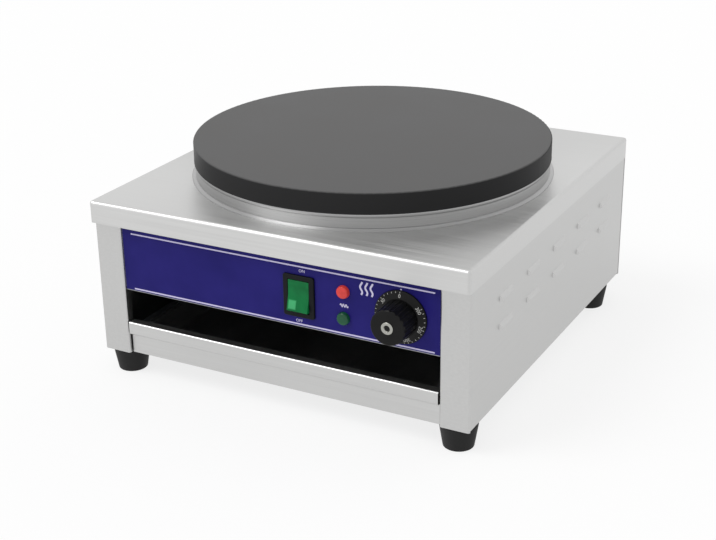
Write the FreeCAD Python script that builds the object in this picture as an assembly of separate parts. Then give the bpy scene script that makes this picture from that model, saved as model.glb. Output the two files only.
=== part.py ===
import FreeCAD, Part
import math
import os

V = FreeCAD.Vector
ORIGIN = V(0, 0, 0)
X = V(1, 0, 0)
Y = V(0, 1, 0)
Z = V(0, 0, 1)

# The frame stands on the floor under the plate's axis, X to the right, Y to the back, Z up.
# All sizes are in millimetres.

# Housing
BODY_WIDTH = 445.0
BODY_DEPTH = 461.0
BODY_HEIGHT = 176.0
SHEET = 1.0
FOLD = 1.4
FRONT_OVERHANG = 6.2
POST_WIDTH = 33.0
POST_RETURN = 10.0
REAR_FLANGE = 20.0
BOTTOM_FLANGE = 26.0
TOP_FLANGE = 12.0
BASE_SHEET = 1.2
SHELF_FLANGE = 14.0
SEAM_GAP = 0.3

# Top cover
COVER_SHEET = 1.0
COVER_FOLD = 2.3
SKIRT_HEIGHT = 24.5

# Louvres in the side panels
LOUVRE_COLUMNS = 5
LOUVRE_ROWS = 2
LOUVRE_LENGTH = 33.0
LOUVRE_HEIGHT = 8.0
LOUVRE_RISE = 2.6
LOUVRE_PITCH_Y = 74.5
LOUVRE_PITCH_Z = 31.0
LOUVRE_CENTRE_Y = 11.0
LOUVRE_DROP = 73.0
LOUVRE_MOUTH = 1.5

# Feet
FOOT_HEIGHT = 27.0
FOOT_TOP_RADIUS = 20.5
FOOT_BOTTOM_RADIUS = 16.0
FOOT_BEAD = 1.5
FOOT_RECESS_RADIUS = 8.0
FOOT_RECESS_DEPTH = 14.0
FOOT_REAR_INSET = 45.5
FOOT_SCREW_RADIUS = 2.5

# Griddle plate
PLATE_RADIUS = 200.0
PLATE_RISE = 40.2
PLATE_RIM = 23.0
PLATE_RIM_WIDTH = 12.0
PLATE_WEB = 14.0
PLATE_EDGE = 1.6
PLATE_RIB = 4.0
PLATE_RIB_DEPTH = 4.5
PLATE_BOSS_RADIUS = 9.0

# Collar under the plate
COLLAR_INSET = 1.0
COLLAR_SHEET = 1.2
COLLAR_FOOT = 16.0
COLLAR_SEAT = 9.0
COLLAR_SCREWS = 4

# Heating elements and what holds them
ELEMENT_RADII = (60.0, 105.0, 150.0)
ELEMENT_TUBE = 4.0
ELEMENT_BEND = 10.0
ELEMENT_TAIL_X = 12.0
ELEMENT_TAIL = 14.0
BEAD_RADIUS = 5.0
BEAD_LENGTH = 6.0
PIN_RADIUS = 2.0
PIN_LENGTH = 8.0
SEAT_GAP = 0.2
CLAMP_SHEET = 2.0
CLAMP_INNER = 40.0
CLAMP_MARGIN = 14.0
SHIELD_SHEET = 1.0
SHIELD_GAP = 2.0
SHIELD_RIM = 12.0
TAIL_CLEARANCE = 2.0
STRAP_Y = 80.0
STRAP_WIDTH = 28.0
STRAP_SHEET = 2.0
STRAP_FLANGE = 9.0
STRAP_OVERLAP = 22.0
STUD_RADIUS = 3.0
STUD_DEPTH = 6.0
STUD_SPARE = 3.0

# Control panel
PANEL_RECESS = 3.3
PANEL_DROP = 99.0
PANEL_FLANGE = 14.0
OVERLAY = 0.5
OVERLAY_MARGIN = 0.5
OVERLAY_HIDDEN = 3.0
CONTROL_DROP = 65.5

# Power switch
SWITCH_TO_LAMPS = 51.0
BEZEL_WIDTH = 36.0
BEZEL_HEIGHT = 46.0
BEZEL_RISE = 2.5
SWITCH_WIDTH = 30.0
SWITCH_HEIGHT = 40.5
SWITCH_DEPTH = 30.0
ROCKER_WIDTH = 24.0
ROCKER_HEIGHT = 34.0
ROCKER_FRONT = 5.5
ROCKER_VALLEY = 3.2
ROCKER_BACK = 4.0
ROCKER_TILT = 8.0
ROCKER_PIN = 2.0
ROCKER_GAP = 0.5
PIVOT_DEPTH = 1.0

# Signal lamps
LAMPS_TO_KNOB = 64.0
LAMP_PITCH = 29.0
LENS_RADIUS = 7.0
LENS_RISE = 4.5
LENS_STEM = 4.2
LENS_STEM_LENGTH = 9.0
HOLDER_RADIUS = 6.2
HOLDER_LENGTH = 24.0

# Thermostat and its knob
KNOB_INSET = 43.0
DIAL_RADIUS = 28.5
DIAL_EDGE = 1.6
DIAL_RISE = 4.2
GRIP_RADIUS = 18.7
GRIP_TAPER = 0.9
KNOB_HEIGHT = 30.0
KNOB_ROUND = 1.8
KNOB_GAP = 0.6
KNOB_WALL = 2.6
KNOB_HUB_RADIUS = 6.5
KNOB_CAVITY = 20.0
KNOB_RIBS = 4
KNOB_RIB = 1.6
FLUTES = 18
FLUTE_RADIUS = 2.4
FLUTE_DEPTH = 0.7
CAP_RADIUS = 6.5
CAP_RISE = 1.0
CAP_DEPTH = 1.2
SHAFT_RADIUS = 3.0
SHAFT_FLAT = 0.9
SHAFT_FIT = 0.05
SHAFT_IN_BODY = 12.0
SHAFT_IN_KNOB = 16.0
BUSH_RADIUS = 4.8
THERMOSTAT_WIDTH = 42.0
THERMOSTAT_HEIGHT = 34.0
THERMOSTAT_DEPTH = 24.0
THERMOSTAT_SCREW_PITCH = 28.0
CAPSULE_RADIUS = 13.0
CAPSULE_DEPTH = 6.0
BULB_RADIUS = 3.0
BULB_LENGTH = 70.0
CAPILLARY_RADIUS = 1.0
CAPILLARY_X = 49.0
CAPILLARY_BEND = 8.0
CAPILLARY_RUN = 60.0
CLIP_WIDTH = 12.0
CLIP_SHEET = 0.8
CLIP_EAR = 8.0

# Drawer
DRAWER_FRONT_HEIGHT = 38.0
DRAWER_SIDE_GAP = 1.5
LIP_HEIGHT = 15.0
LIP_PROUD = 5.0
LIP_DEPTH = 12.0
LIP_HEM = 3.0
PAN_DEPTH = 395.0
PAN_HEIGHT = 28.0
PAN_RIM = 12.5
PAN_CORNER = 4.0
SLIDE_GAP = 0.5
SLIDE_LIFT = 0.3
RUNNER_INSET = 3.5
RUNNER_LIP = 10.0
RUNNER_FOOT = 8.0
RUNNER_SETBACK = 1.5
RUNNER_EXTRA = 8.0
DRAWER_TRAVEL = 260.0
STOP_EAR = 10.0
STOP_TAB = 8.0

# Supply side
GLAND_INSET = 72.5
GLAND_LIFT = 26.0
GLAND_BORE = 4.75
GLAND_THREAD = 8.0
GLAND_FLANGE = 12.5
GLAND_FLANGE_LENGTH = 6.0
GLAND_REACH = 21.5
GLAND_INSIDE = 10.0
GLAND_CAP_RADIUS = 11.0
GLAND_TO_TERMINAL = 45.0
TERMINAL_BACK = 70.0
TERMINAL_POLES = 3
TERMINAL_PITCH = 19.0
TERMINAL_DEPTH = 26.0
TERMINAL_HEIGHT = 20.0
TERMINAL_ENTRY = 3.2
EARTH_INSET = 32.5
EARTH_BACK = 70.0
EARTH_RADIUS = 2.5
EARTH_HEIGHT = 16.0

# Small fasteners
SCREW_RADIUS = 2.0
SCREW_LENGTH = 8.0
HEAD_HEIGHT = 2.2
HOLE_GAP = 0.1
RIVET_RADIUS = 1.6
RIVET_HEAD = 1.0

# Levels and faces that the pieces share
COVER_TOP = FOOT_HEIGHT + BODY_HEIGHT
COVER_UNDER = COVER_TOP - COVER_SHEET
SKIRT_Z = COVER_TOP - SKIRT_HEIGHT
SIDE_X = BODY_WIDTH / 2 - COVER_SHEET
INNER_X = SIDE_X - SHEET
POST_X = SIDE_X - POST_WIDTH
FRONT_Y = -BODY_DEPTH / 2 + FRONT_OVERHANG
BACK_Y = BODY_DEPTH / 2 - COVER_SHEET
POST_BACK_Y = FRONT_Y + POST_RETURN
BASE_Z = FOOT_HEIGHT + SHEET
BASE_TOP = BASE_Z + BASE_SHEET
PANEL_Y = FRONT_Y + PANEL_RECESS
PANEL_BACK = PANEL_Y + SHEET
PANEL_FACE = PANEL_Y - OVERLAY
PANEL_Z = COVER_TOP - PANEL_DROP
CONTROL_Z = COVER_TOP - CONTROL_DROP
KNOB_X = POST_X - KNOB_INSET
LAMP_X = KNOB_X - LAMPS_TO_KNOB
SWITCH_X = LAMP_X - SWITCH_TO_LAMPS
GLAND_X = GLAND_INSET - BODY_WIDTH / 2
TERMINAL_X = GLAND_X + GLAND_TO_TERMINAL
EARTH_X = EARTH_INSET - BODY_WIDTH / 2

PLATE_TOP = COVER_TOP + PLATE_RISE
RIM_Z = PLATE_TOP - PLATE_RIM
WEB_Z = PLATE_TOP - PLATE_WEB
COLLAR_RADIUS = PLATE_RADIUS - COLLAR_INSET
OPENING_RADIUS = COLLAR_RADIUS - COLLAR_FOOT
COLLAR_SCREW_RADIUS = COLLAR_RADIUS - COLLAR_FOOT / 2
ELEMENT_Z = WEB_Z - SEAT_GAP - ELEMENT_TUBE
CLAMP_TOP = ELEMENT_Z - ELEMENT_TUBE - SEAT_GAP
CLAMP_Z = CLAMP_TOP - CLAMP_SHEET
SHIELD_RADIUS = OPENING_RADIUS - SHIELD_GAP
SHIELD_TOP = COVER_UNDER + SHIELD_SHEET
STUD_CIRCLE = (ELEMENT_RADII[1] + ELEMENT_RADII[2]) / 2
STUD_X = math.sqrt(STUD_CIRCLE ** 2 - STRAP_Y ** 2)
STRAP_UNDER = COVER_UNDER - STRAP_SHEET
STUDS = [(sx * STUD_X, sy * STRAP_Y) for sx in (-1, 1) for sy in (-1, 1)]

DRAWER_TOP = FOOT_HEIGHT + DRAWER_FRONT_HEIGHT
DRAWER_FACE_Y = FRONT_Y + LIP_PROUD
PAN_FRONT_Y = DRAWER_FACE_Y + SHEET
PAN_BACK_Y = PAN_FRONT_Y + PAN_DEPTH
PAN_Z = BASE_TOP + SLIDE_LIFT
PAN_TOP = PAN_Z + PAN_HEIGHT
RUNNER_X = POST_X - RUNNER_INSET
RUNNER_Y = FRONT_Y + max(POST_RETURN, LIP_DEPTH) + RUNNER_SETBACK
RUNNER_END_Y = PAN_BACK_Y + RUNNER_EXTRA
RIM_X = RUNNER_X - SLIDE_GAP
PAN_X = RIM_X - PAN_RIM
LIP_Z = PAN_TOP + SLIDE_GAP

FOOT_X = SIDE_X - FOOT_TOP_RADIUS
FOOT_YS = (FRONT_Y + FOOT_TOP_RADIUS, BODY_DEPTH / 2 - FOOT_REAR_INSET)
GLAND_Z = PANEL_Z + GLAND_LIFT
PIVOT_Y = PANEL_FACE + PIVOT_DEPTH
KNOB_BACK = PANEL_FACE - KNOB_GAP
KNOB_FRONT = KNOB_BACK - KNOB_HEIGHT


# Shared ways of making a shape

def box(xs, ys, zs):
    corner = V(xs[0], ys[0], zs[0])
    return Part.makeBox(xs[1] - xs[0], ys[1] - ys[0], zs[1] - zs[0], corner)


def rod(radius, start, end):
    axis = end - start
    return Part.makeCylinder(radius, axis.Length, start, axis)


def mirrored(shape):
    return shape.mirror(ORIGIN, X)


def both_sides(shape):
    return [shape, mirrored(shape)]


def fused(shapes):
    whole = shapes[0]
    if len(shapes) > 1:
        whole = whole.fuse(shapes[1:])
    return whole.removeSplitter()


def unit(vector):
    return V(vector).normalize()


def outline(corners, origin, u_axis, v_axis):
    """A flat face from (u, v, radius) corners, each rounded by its radius."""
    places = [origin + u_axis * u + v_axis * v for u, v, radius in corners]
    arcs = []
    for i, place in enumerate(places):
        radius = corners[i][2]
        before = unit(places[i - 1] - place)
        after = unit(places[(i + 1) % len(places)] - place)
        if radius <= 0:
            arcs.append((place, place, place))
            continue
        half = before.getAngle(after) / 2
        inwards = unit(before + after)
        reach = radius / math.tan(half)
        centre = place + inwards * (radius / math.sin(half))
        arcs.append((place + before * reach, centre - inwards * radius, place + after * reach))
    edges = []
    for i, (enter, middle, leave) in enumerate(arcs):
        if corners[i][2] > 0:
            edges.append(Part.Arc(enter, middle, leave).toShape())
        following = arcs[(i + 1) % len(arcs)][0]
        if leave.distanceToPoint(following) > 1e-6:
            edges.append(Part.LineSegment(leave, following).toShape())
    return Part.Face(Part.Wire(edges))


def folded(path, sheet, origin, u_axis, v_axis):
    """The section of a folded sheet that lies on the left of an outer path of (u, v) points."""
    points = [V(u, v, 0) for u, v in path]
    directions = [unit(b - a) for a, b in zip(points, points[1:])]
    normals = [V(-d.y, d.x, 0) for d in directions]
    near = [(points[0].x, points[0].y, 0)]
    far_point = points[0] + normals[0] * sheet
    far = [(far_point.x, far_point.y, 0)]
    for i in range(1, len(points) - 1):
        first = normals[i - 1]
        second = normals[i]
        offset = (first + second) * (sheet / (1 + first.dot(second)))
        turns_left = directions[i - 1].cross(directions[i]).z > 0
        near_radius = FOLD + sheet if turns_left else FOLD
        far_radius = FOLD if turns_left else FOLD + sheet
        near.append((points[i].x, points[i].y, near_radius))
        far.append((points[i].x + offset.x, points[i].y + offset.y, far_radius))
    near.append((points[-1].x, points[-1].y, 0))
    far_point = points[-1] + normals[-1] * sheet
    far.append((far_point.x, far_point.y, 0))
    return outline(near + far[::-1], origin, u_axis, v_axis)


def turned(corners, centre, axis, across):
    """A solid of revolution from (radius, height, rounding) corners about an axis."""
    face = outline(corners, centre, across, axis)
    return face.revolve(centre, axis, 360)


def tube(points, radius, bend):
    """A round tube along straight runs joined by arcs."""
    edges = []
    start = points[0]
    for i in range(1, len(points) - 1):
        before = unit(points[i - 1] - points[i])
        after = unit(points[i + 1] - points[i])
        half = before.getAngle(after) / 2
        reach = bend / math.tan(half)
        inwards = unit(before + after)
        middle = points[i] + inwards * (bend / math.sin(half) - bend)
        enter = points[i] + before * reach
        leave = points[i] + after * reach
        edges.append(Part.LineSegment(start, enter).toShape())
        edges.append(Part.Arc(enter, middle, leave).toShape())
        start = leave
    edges.append(Part.LineSegment(start, points[-1]).toShape())
    path = Part.Wire(edges)
    ring = Part.Wire(Part.makeCircle(radius, points[0], points[1] - points[0]))
    return path.makePipeShell([ring], True, False)


def hexagon(across_flats, height, base, axis, across):
    """A nut or bolt head standing on its base point."""
    corner = across_flats / math.sqrt(3)
    side = axis.cross(across)
    spots = [base + across * (corner * math.cos(a)) + side * (corner * math.sin(a))
             for a in [math.radians(60 * i) for i in range(6)]]
    wire = Part.makePolygon(spots + [spots[0]])
    return Part.Face(wire).extrude(axis * height)


def nut(radius, base, axis, across):
    body = hexagon(radius * 3.2, radius * 1.6, base, axis, across)
    return body.cut(rod(radius + HOLE_GAP, base - axis, base + axis * (radius * 1.6 + 1)))


def pan_screw(radius, length, seat, axis):
    """A round-headed screw whose head rests on the seat and whose shank runs along the axis."""
    across = X if abs(axis.x) < 0.5 else Z
    head_radius = radius * 1.9
    corners = [(0, 0, 0), (head_radius, 0, 0), (head_radius, HEAD_HEIGHT, HEAD_HEIGHT * 0.7), (0, HEAD_HEIGHT, 0)]
    head = turned(corners, seat, axis * -1, across)
    slot = box((-head_radius, head_radius), (-0.4, 0.4), (HEAD_HEIGHT - 0.9, HEAD_HEIGHT + 1))
    slot.Placement = FreeCAD.Placement(seat, FreeCAD.Rotation(Z, axis * -1))
    return fused([head.cut(slot), rod(radius, seat, seat + axis * length)])


def rivet(start, end):
    """A rivet through the sheets between two faces, with a round head on each."""
    axis = unit(end - start)
    across = X if abs(axis.x) < 0.5 else Z
    radius = RIVET_RADIUS * 1.8
    corners = [(0, 0, 0), (radius, 0, 0), (radius, RIVET_HEAD, RIVET_HEAD * 0.6), (0, RIVET_HEAD, 0)]
    heads = [turned(corners, start, axis * -1, across), turned(corners, end, axis, across)]
    return fused(heads + [rod(RIVET_RADIUS, start, end)])


def bored(shape, radius, places, axis, reach):
    """The shape with a round hole through each place."""
    tools = [rod(radius + HOLE_GAP, place - axis * reach, place + axis * reach) for place in places]
    return shape.cut(tools)


# Places of the fasteners

def collar_screw_places():
    angles = [math.radians(360 / COLLAR_SCREWS * (i + 0.5)) for i in range(COLLAR_SCREWS)]
    radius = COLLAR_SCREW_RADIUS
    height = COVER_TOP + COLLAR_SHEET
    return [V(radius * math.cos(a), radius * math.sin(a), height) for a in angles]


def foot_places():
    return [V(sx * FOOT_X, y, 0) for sx in (-1, 1) for y in FOOT_YS]


def back_screw_places():
    x = SIDE_X - REAR_FLANGE / 2
    low = FOOT_HEIGHT + REAR_FLANGE / 2
    high = SKIRT_Z - REAR_FLANGE / 2
    heights = (low, (low + PANEL_Z) / 2, high)
    return [V(sx * x, BACK_Y + SHEET, z) for sx in (-1, 1) for z in heights]


def cover_screw_places():
    x = SIDE_X - REAR_FLANGE / 2
    return [V(sx * x, BACK_Y + COVER_SHEET, SKIRT_Z + SKIRT_HEIGHT / 2) for sx in (-1, 1)]


def panel_rivet_places():
    y = (PANEL_BACK + FOLD + POST_BACK_Y) / 2
    heights = (PANEL_Z + SHELF_FLANGE, SKIRT_Z)
    return [V(POST_X, y, z) for z in heights]


def runner_rivet_places():
    x = RUNNER_X + SHEET + RUNNER_FOOT / 2 + FOLD / 2
    first = RUNNER_Y + STOP_EAR
    last = RUNNER_END_Y - STOP_EAR
    return [V(x, y, BASE_TOP + SHEET) for y in (first, (first + last) / 2, last)]


def thermostat_screw_places():
    half = THERMOSTAT_SCREW_PITCH / 2
    return [V(KNOB_X + side * half, PANEL_FACE, CONTROL_Z) for side in (-1, 1)]


def lamp_places():
    return [V(LAMP_X, PANEL_FACE, CONTROL_Z + side * LAMP_PITCH / 2) for side in (1, -1)]


def gland_centre():
    return V(GLAND_X, BACK_Y, GLAND_Z)


def earth_place():
    return V(EARTH_X, BACK_Y - EARTH_BACK, PANEL_Z)


# Housing

def top_cover():
    """A tray with rounded folds, open under the plate."""
    half_w = BODY_WIDTH / 2
    half_d = BODY_DEPTH / 2
    outer_fold = COVER_FOLD + COVER_SHEET
    outer = box((-half_w, half_w), (-half_d, half_d), (SKIRT_Z, COVER_TOP))
    outer = outer.makeFillet(outer_fold, [e for e in outer.Edges if rounded_cover_edge(e, COVER_TOP)])
    inner_w = half_w - COVER_SHEET
    inner_d = half_d - COVER_SHEET
    inner = box((-inner_w, inner_w), (-inner_d, inner_d), (SKIRT_Z, COVER_UNDER))
    inner = inner.makeFillet(COVER_FOLD, [e for e in inner.Edges if rounded_cover_edge(e, COVER_UNDER)])
    tray = outer.cut(inner)
    tray = tray.cut(rod(OPENING_RADIUS, V(0, 0, SKIRT_Z), V(0, 0, COVER_TOP + 1)))
    tray = bored(tray, SCREW_RADIUS, collar_screw_places(), Z, SKIRT_HEIGHT)
    return bored(tray, SCREW_RADIUS, cover_screw_places(), Y, COVER_FOLD)


def rounded_cover_edge(edge, top):
    box_of_edge = edge.BoundBox
    upright = box_of_edge.ZLength > 1
    return upright or box_of_edge.ZMin > top - 0.01


def louvre(y, z):
    """A pressed hood, open below, and the hollow under it."""
    half = LOUVRE_LENGTH / 2
    low = -LOUVRE_HEIGHT / 2
    high = LOUVRE_HEIGHT / 2
    hood = tapered((SIDE_X - SHEET / 2, half, low, high), (SIDE_X + LOUVRE_RISE, half - LOUVRE_RISE,
                   low, low + LOUVRE_MOUTH + SHEET), y, z)
    hollow = tapered((SIDE_X - SHEET - 1, half - SHEET, low - 1, high - SHEET),
                     (SIDE_X + LOUVRE_RISE - SHEET, half - LOUVRE_RISE - SHEET, low - 1, low + LOUVRE_MOUTH), y, z)
    slit = box((SIDE_X, SIDE_X + LOUVRE_RISE + 1), (y - half, y + half), (z + low - 2, z + low))
    return hood, hollow.cut(slit)


def tapered(base, top, y, z):
    """A ruled solid between two upright rectangles given as (x, half length, low, high)."""
    wires = []
    for x, half, low, high in (base, top):
        spots = [V(x, y - half, z + low), V(x, y + half, z + low), V(x, y + half, z + high), V(x, y - half, z + high)]
        wires.append(Part.makePolygon(spots + [spots[0]]))
    return Part.makeLoft(wires, True, True)


def louvre_places():
    first_y = LOUVRE_CENTRE_Y - LOUVRE_PITCH_Y * (LOUVRE_COLUMNS - 1) / 2
    first_z = COVER_TOP - LOUVRE_DROP - LOUVRE_PITCH_Z * (LOUVRE_ROWS - 1) / 2
    return [(first_y + LOUVRE_PITCH_Y * i, first_z + LOUVRE_PITCH_Z * j)
            for i in range(LOUVRE_COLUMNS) for j in range(LOUVRE_ROWS)]


def right_side_panel():
    """A wall with flanges all round, whose front flange is the post beside the drawer."""
    fold = FOLD + SHEET
    wall_path = [(SIDE_X - BOTTOM_FLANGE, FOOT_HEIGHT), (SIDE_X, FOOT_HEIGHT), (SIDE_X, COVER_UNDER),
                 (SIDE_X - TOP_FLANGE, COVER_UNDER)]
    wall = folded(wall_path, SHEET, V(0, FRONT_Y + fold, 0), X, Z)
    wall = wall.extrude(Y * (BACK_Y - FRONT_Y - 2 * fold))
    post_path = [(POST_X, POST_BACK_Y), (POST_X, FRONT_Y), (SIDE_X, FRONT_Y), (SIDE_X, FRONT_Y + fold)]
    rear_path = [(SIDE_X, BACK_Y - fold), (SIDE_X, BACK_Y), (SIDE_X - REAR_FLANGE, BACK_Y)]
    height = COVER_UNDER - COVER_FOLD - SEAM_GAP - FOOT_HEIGHT
    post = folded_with_plain_end(post_path, V(0, 0, FOOT_HEIGHT)).extrude(Z * height)
    rear = folded_with_plain_end(rear_path, V(0, 0, FOOT_HEIGHT)).extrude(Z * height)
    hoods = []
    hollows = []
    for y, z in louvre_places():
        hood, hollow = louvre(y, z)
        hoods.append(hood)
        hollows.append(hollow)
    panel = fused([wall, post, rear] + hoods).cut(hollows)
    panel = bored(panel, FOOT_SCREW_RADIUS, [p + Z * BASE_Z for p in foot_places()], Z, SHEET * 2)
    panel = bored(panel, SCREW_RADIUS, back_screw_places() + cover_screw_places(), Y, FOLD + SHEET * 2)
    return bored(panel, RIVET_RADIUS, panel_rivet_places(), X, SHEET * 2)


def folded_with_plain_end(path, origin):
    return folded(path, SHEET, origin, X, Y)


def back_panel():
    sheet = box((-SIDE_X, SIDE_X), (BACK_Y, BACK_Y + SHEET), (FOOT_HEIGHT, SKIRT_Z - SEAM_GAP))
    sheet = bored(sheet, SCREW_RADIUS, back_screw_places(), Y, SHEET * 2)
    return bored(sheet, GLAND_THREAD, [gland_centre()], Y, SHEET * 2)


def base_panel():
    """The floor of the drawer bay, notched round the posts."""
    side = INNER_X - FOLD - SEAM_GAP
    sheet = box((-side, side), (PAN_FRONT_Y + SEAM_GAP, BACK_Y - SHEET - SEAM_GAP), (BASE_Z, BASE_TOP))
    notch = box((POST_X - SEAM_GAP, side + 1), (FRONT_Y, POST_BACK_Y + SEAM_GAP), (BASE_Z - 1, BASE_TOP + 1))
    sheet = sheet.cut(both_sides(notch))
    sheet = bored(sheet, FOOT_SCREW_RADIUS, [p + Z * BASE_Z for p in foot_places()], Z, BASE_SHEET * 3)
    rivets = runner_rivet_places()
    rivets = rivets + [V(-p.x, p.y, p.z) for p in rivets]
    return bored(sheet, RIVET_RADIUS, rivets, Z, BASE_SHEET * 3)


def compartment_shelf():
    """The sheet between the drawer bay and the wiring, with its side flanges turned down."""
    low = PANEL_Z - SHELF_FLANGE
    path = [(INNER_X, low), (INNER_X, PANEL_Z), (-INNER_X, PANEL_Z), (-INNER_X, low)]
    shelf = folded(path, SHEET, V(0, PANEL_Y, 0), X, Z).extrude(Y * (BACK_Y - SHEET - FOLD - SEAM_GAP - PANEL_Y))
    notch = box((POST_X - SEAM_GAP, SIDE_X), (PANEL_Y - 1, POST_BACK_Y + SEAM_GAP), (low - 1, PANEL_Z + 1))
    shelf = shelf.cut(both_sides(notch))
    return bored(shelf, EARTH_RADIUS, [earth_place()], Z, SHEET * 2)


def control_panel():
    """The recessed steel panel between the posts, with its flanges and side tabs."""
    back = PANEL_Y + PANEL_FLANGE
    path = [(back, COVER_UNDER), (PANEL_Y, COVER_UNDER), (PANEL_Y, PANEL_Z), (back, PANEL_Z)]
    channel = folded(path, SHEET, V(-POST_X, 0, 0), Y, Z).extrude(X * (2 * POST_X))
    tab_z = (PANEL_Z + SHEET * 3, COVER_UNDER - SHEET * 3)
    tab = box((POST_X - SHEET, POST_X), (PANEL_Y + SHEET / 2, POST_BACK_Y), tab_z)
    panel = fused([channel] + both_sides(tab))
    rivets = panel_rivet_places()
    rivets = rivets + [V(-p.x, p.y, p.z) for p in rivets]
    panel = bored(panel, RIVET_RADIUS, rivets, X, SHEET * 3)
    return cut_for_controls(panel)


def cut_for_controls(panel):
    """The openings for the switch, the lamps and the thermostat."""
    depth = (PANEL_FACE - 1, PANEL_BACK + 1)
    half_w = SWITCH_WIDTH / 2 + HOLE_GAP
    half_h = SWITCH_HEIGHT / 2 + HOLE_GAP
    window = box((SWITCH_X - half_w, SWITCH_X + half_w), depth, (CONTROL_Z - half_h, CONTROL_Z + half_h))
    panel = panel.cut(window)
    panel = bored(panel, LENS_STEM, lamp_places(), Y, SHEET * 3)
    panel = bored(panel, BUSH_RADIUS, [V(KNOB_X, PANEL_Y, CONTROL_Z)], Y, SHEET * 3)
    return bored(panel, SCREW_RADIUS, thermostat_screw_places(), Y, SHEET * 3)


def panel_overlay():
    """The coloured skin on the control panel."""
    side = POST_X - OVERLAY_MARGIN
    skin = box((-side, side), (PANEL_FACE, PANEL_Y), (PANEL_Z, SKIRT_Z + OVERLAY_HIDDEN))
    return cut_for_controls(skin)


def foot():
    """A tapered rubber foot with a recess for its screw."""
    top = FOOT_HEIGHT
    corners = [(FOOT_RECESS_RADIUS, 0, 0), (FOOT_BOTTOM_RADIUS, 0, FOOT_BEAD), (FOOT_TOP_RADIUS, top, FOOT_BEAD),
               (FOOT_SCREW_RADIUS + HOLE_GAP, top, 0), (FOOT_SCREW_RADIUS + HOLE_GAP, FOOT_RECESS_DEPTH, 0),
               (FOOT_RECESS_RADIUS, FOOT_RECESS_DEPTH, 0)]
    return turned(corners, ORIGIN, Z, X)


def foot_screws():
    length = BASE_TOP - FOOT_RECESS_DEPTH + FOOT_SCREW_RADIUS * 2
    return [pan_screw(FOOT_SCREW_RADIUS, length, p + Z * FOOT_RECESS_DEPTH, Z) for p in foot_places()]


def foot_nuts():
    return [nut(FOOT_SCREW_RADIUS, p + Z * BASE_TOP, Z, X) for p in foot_places()]


def back_screws():
    return [pan_screw(SCREW_RADIUS, SCREW_LENGTH, p, Y * -1) for p in back_screw_places()]


def cover_screws():
    return [pan_screw(SCREW_RADIUS, SCREW_LENGTH, p, Y * -1) for p in cover_screw_places()]


def panel_rivets():
    rivets = [rivet(p - X * SHEET, p + X * SHEET) for p in panel_rivet_places()]
    return rivets + [mirrored(r) for r in rivets]


# Griddle plate and what is under it

def griddle_plate():
    """A cast disc with a deep rim, ribs between the elements and a boss for each stud."""
    inner = PLATE_RADIUS - PLATE_RIM_WIDTH
    corners = [(0, PLATE_TOP, 0), (PLATE_RADIUS, PLATE_TOP, PLATE_EDGE), (PLATE_RADIUS, RIM_Z, PLATE_EDGE / 2),
               (inner, RIM_Z, PLATE_EDGE / 2), (inner - 1, WEB_Z, PLATE_EDGE)]
    for radius in (STUD_CIRCLE, (ELEMENT_RADII[0] + ELEMENT_RADII[1]) / 2):
        rib_z = WEB_Z - PLATE_RIB_DEPTH
        corners.append((radius + PLATE_RIB / 2 + 0.5, WEB_Z, 1))
        corners.append((radius + PLATE_RIB / 2, rib_z, 1))
        corners.append((radius - PLATE_RIB / 2, rib_z, 1))
        corners.append((radius - PLATE_RIB / 2 - 0.5, WEB_Z, 1))
    corners.append((0, WEB_Z, 0))
    plate = turned(corners, ORIGIN, Z, X)
    bosses = [rod(PLATE_BOSS_RADIUS, V(x, y, CLAMP_TOP + SEAT_GAP), V(x, y, WEB_Z + 1)) for x, y in STUDS]
    plate = fused([plate] + bosses)
    holes = [rod(STUD_RADIUS + HOLE_GAP, V(x, y, CLAMP_Z), V(x, y, WEB_Z + STUD_DEPTH)) for x, y in STUDS]
    return plate.cut(holes)


def plate_collar():
    """A spun ring whose flanges turn inwards at the foot and under the plate's rim."""
    path = [(COLLAR_RADIUS - COLLAR_FOOT, COVER_TOP), (COLLAR_RADIUS, COVER_TOP), (COLLAR_RADIUS, RIM_Z),
            (COLLAR_RADIUS - COLLAR_SEAT, RIM_Z)]
    ring = folded(path, COLLAR_SHEET, ORIGIN, X, Z).revolve(ORIGIN, Z, 360)
    return bored(ring, SCREW_RADIUS, collar_screw_places(), Z, COLLAR_SHEET * 2)


def collar_screws():
    return [pan_screw(SCREW_RADIUS, SCREW_LENGTH, p, Z * -1) for p in collar_screw_places()]


def collar_nuts():
    drop = Z * (COVER_SHEET + COLLAR_SHEET)
    return [nut(SCREW_RADIUS, p - drop, Z * -1, X) for p in collar_screw_places()]


def tail_y(radius):
    """Where the ends of an element of this radius turn down."""
    reach = ELEMENT_TAIL_X + ELEMENT_BEND
    return math.sqrt(radius ** 2 - reach ** 2)


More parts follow.
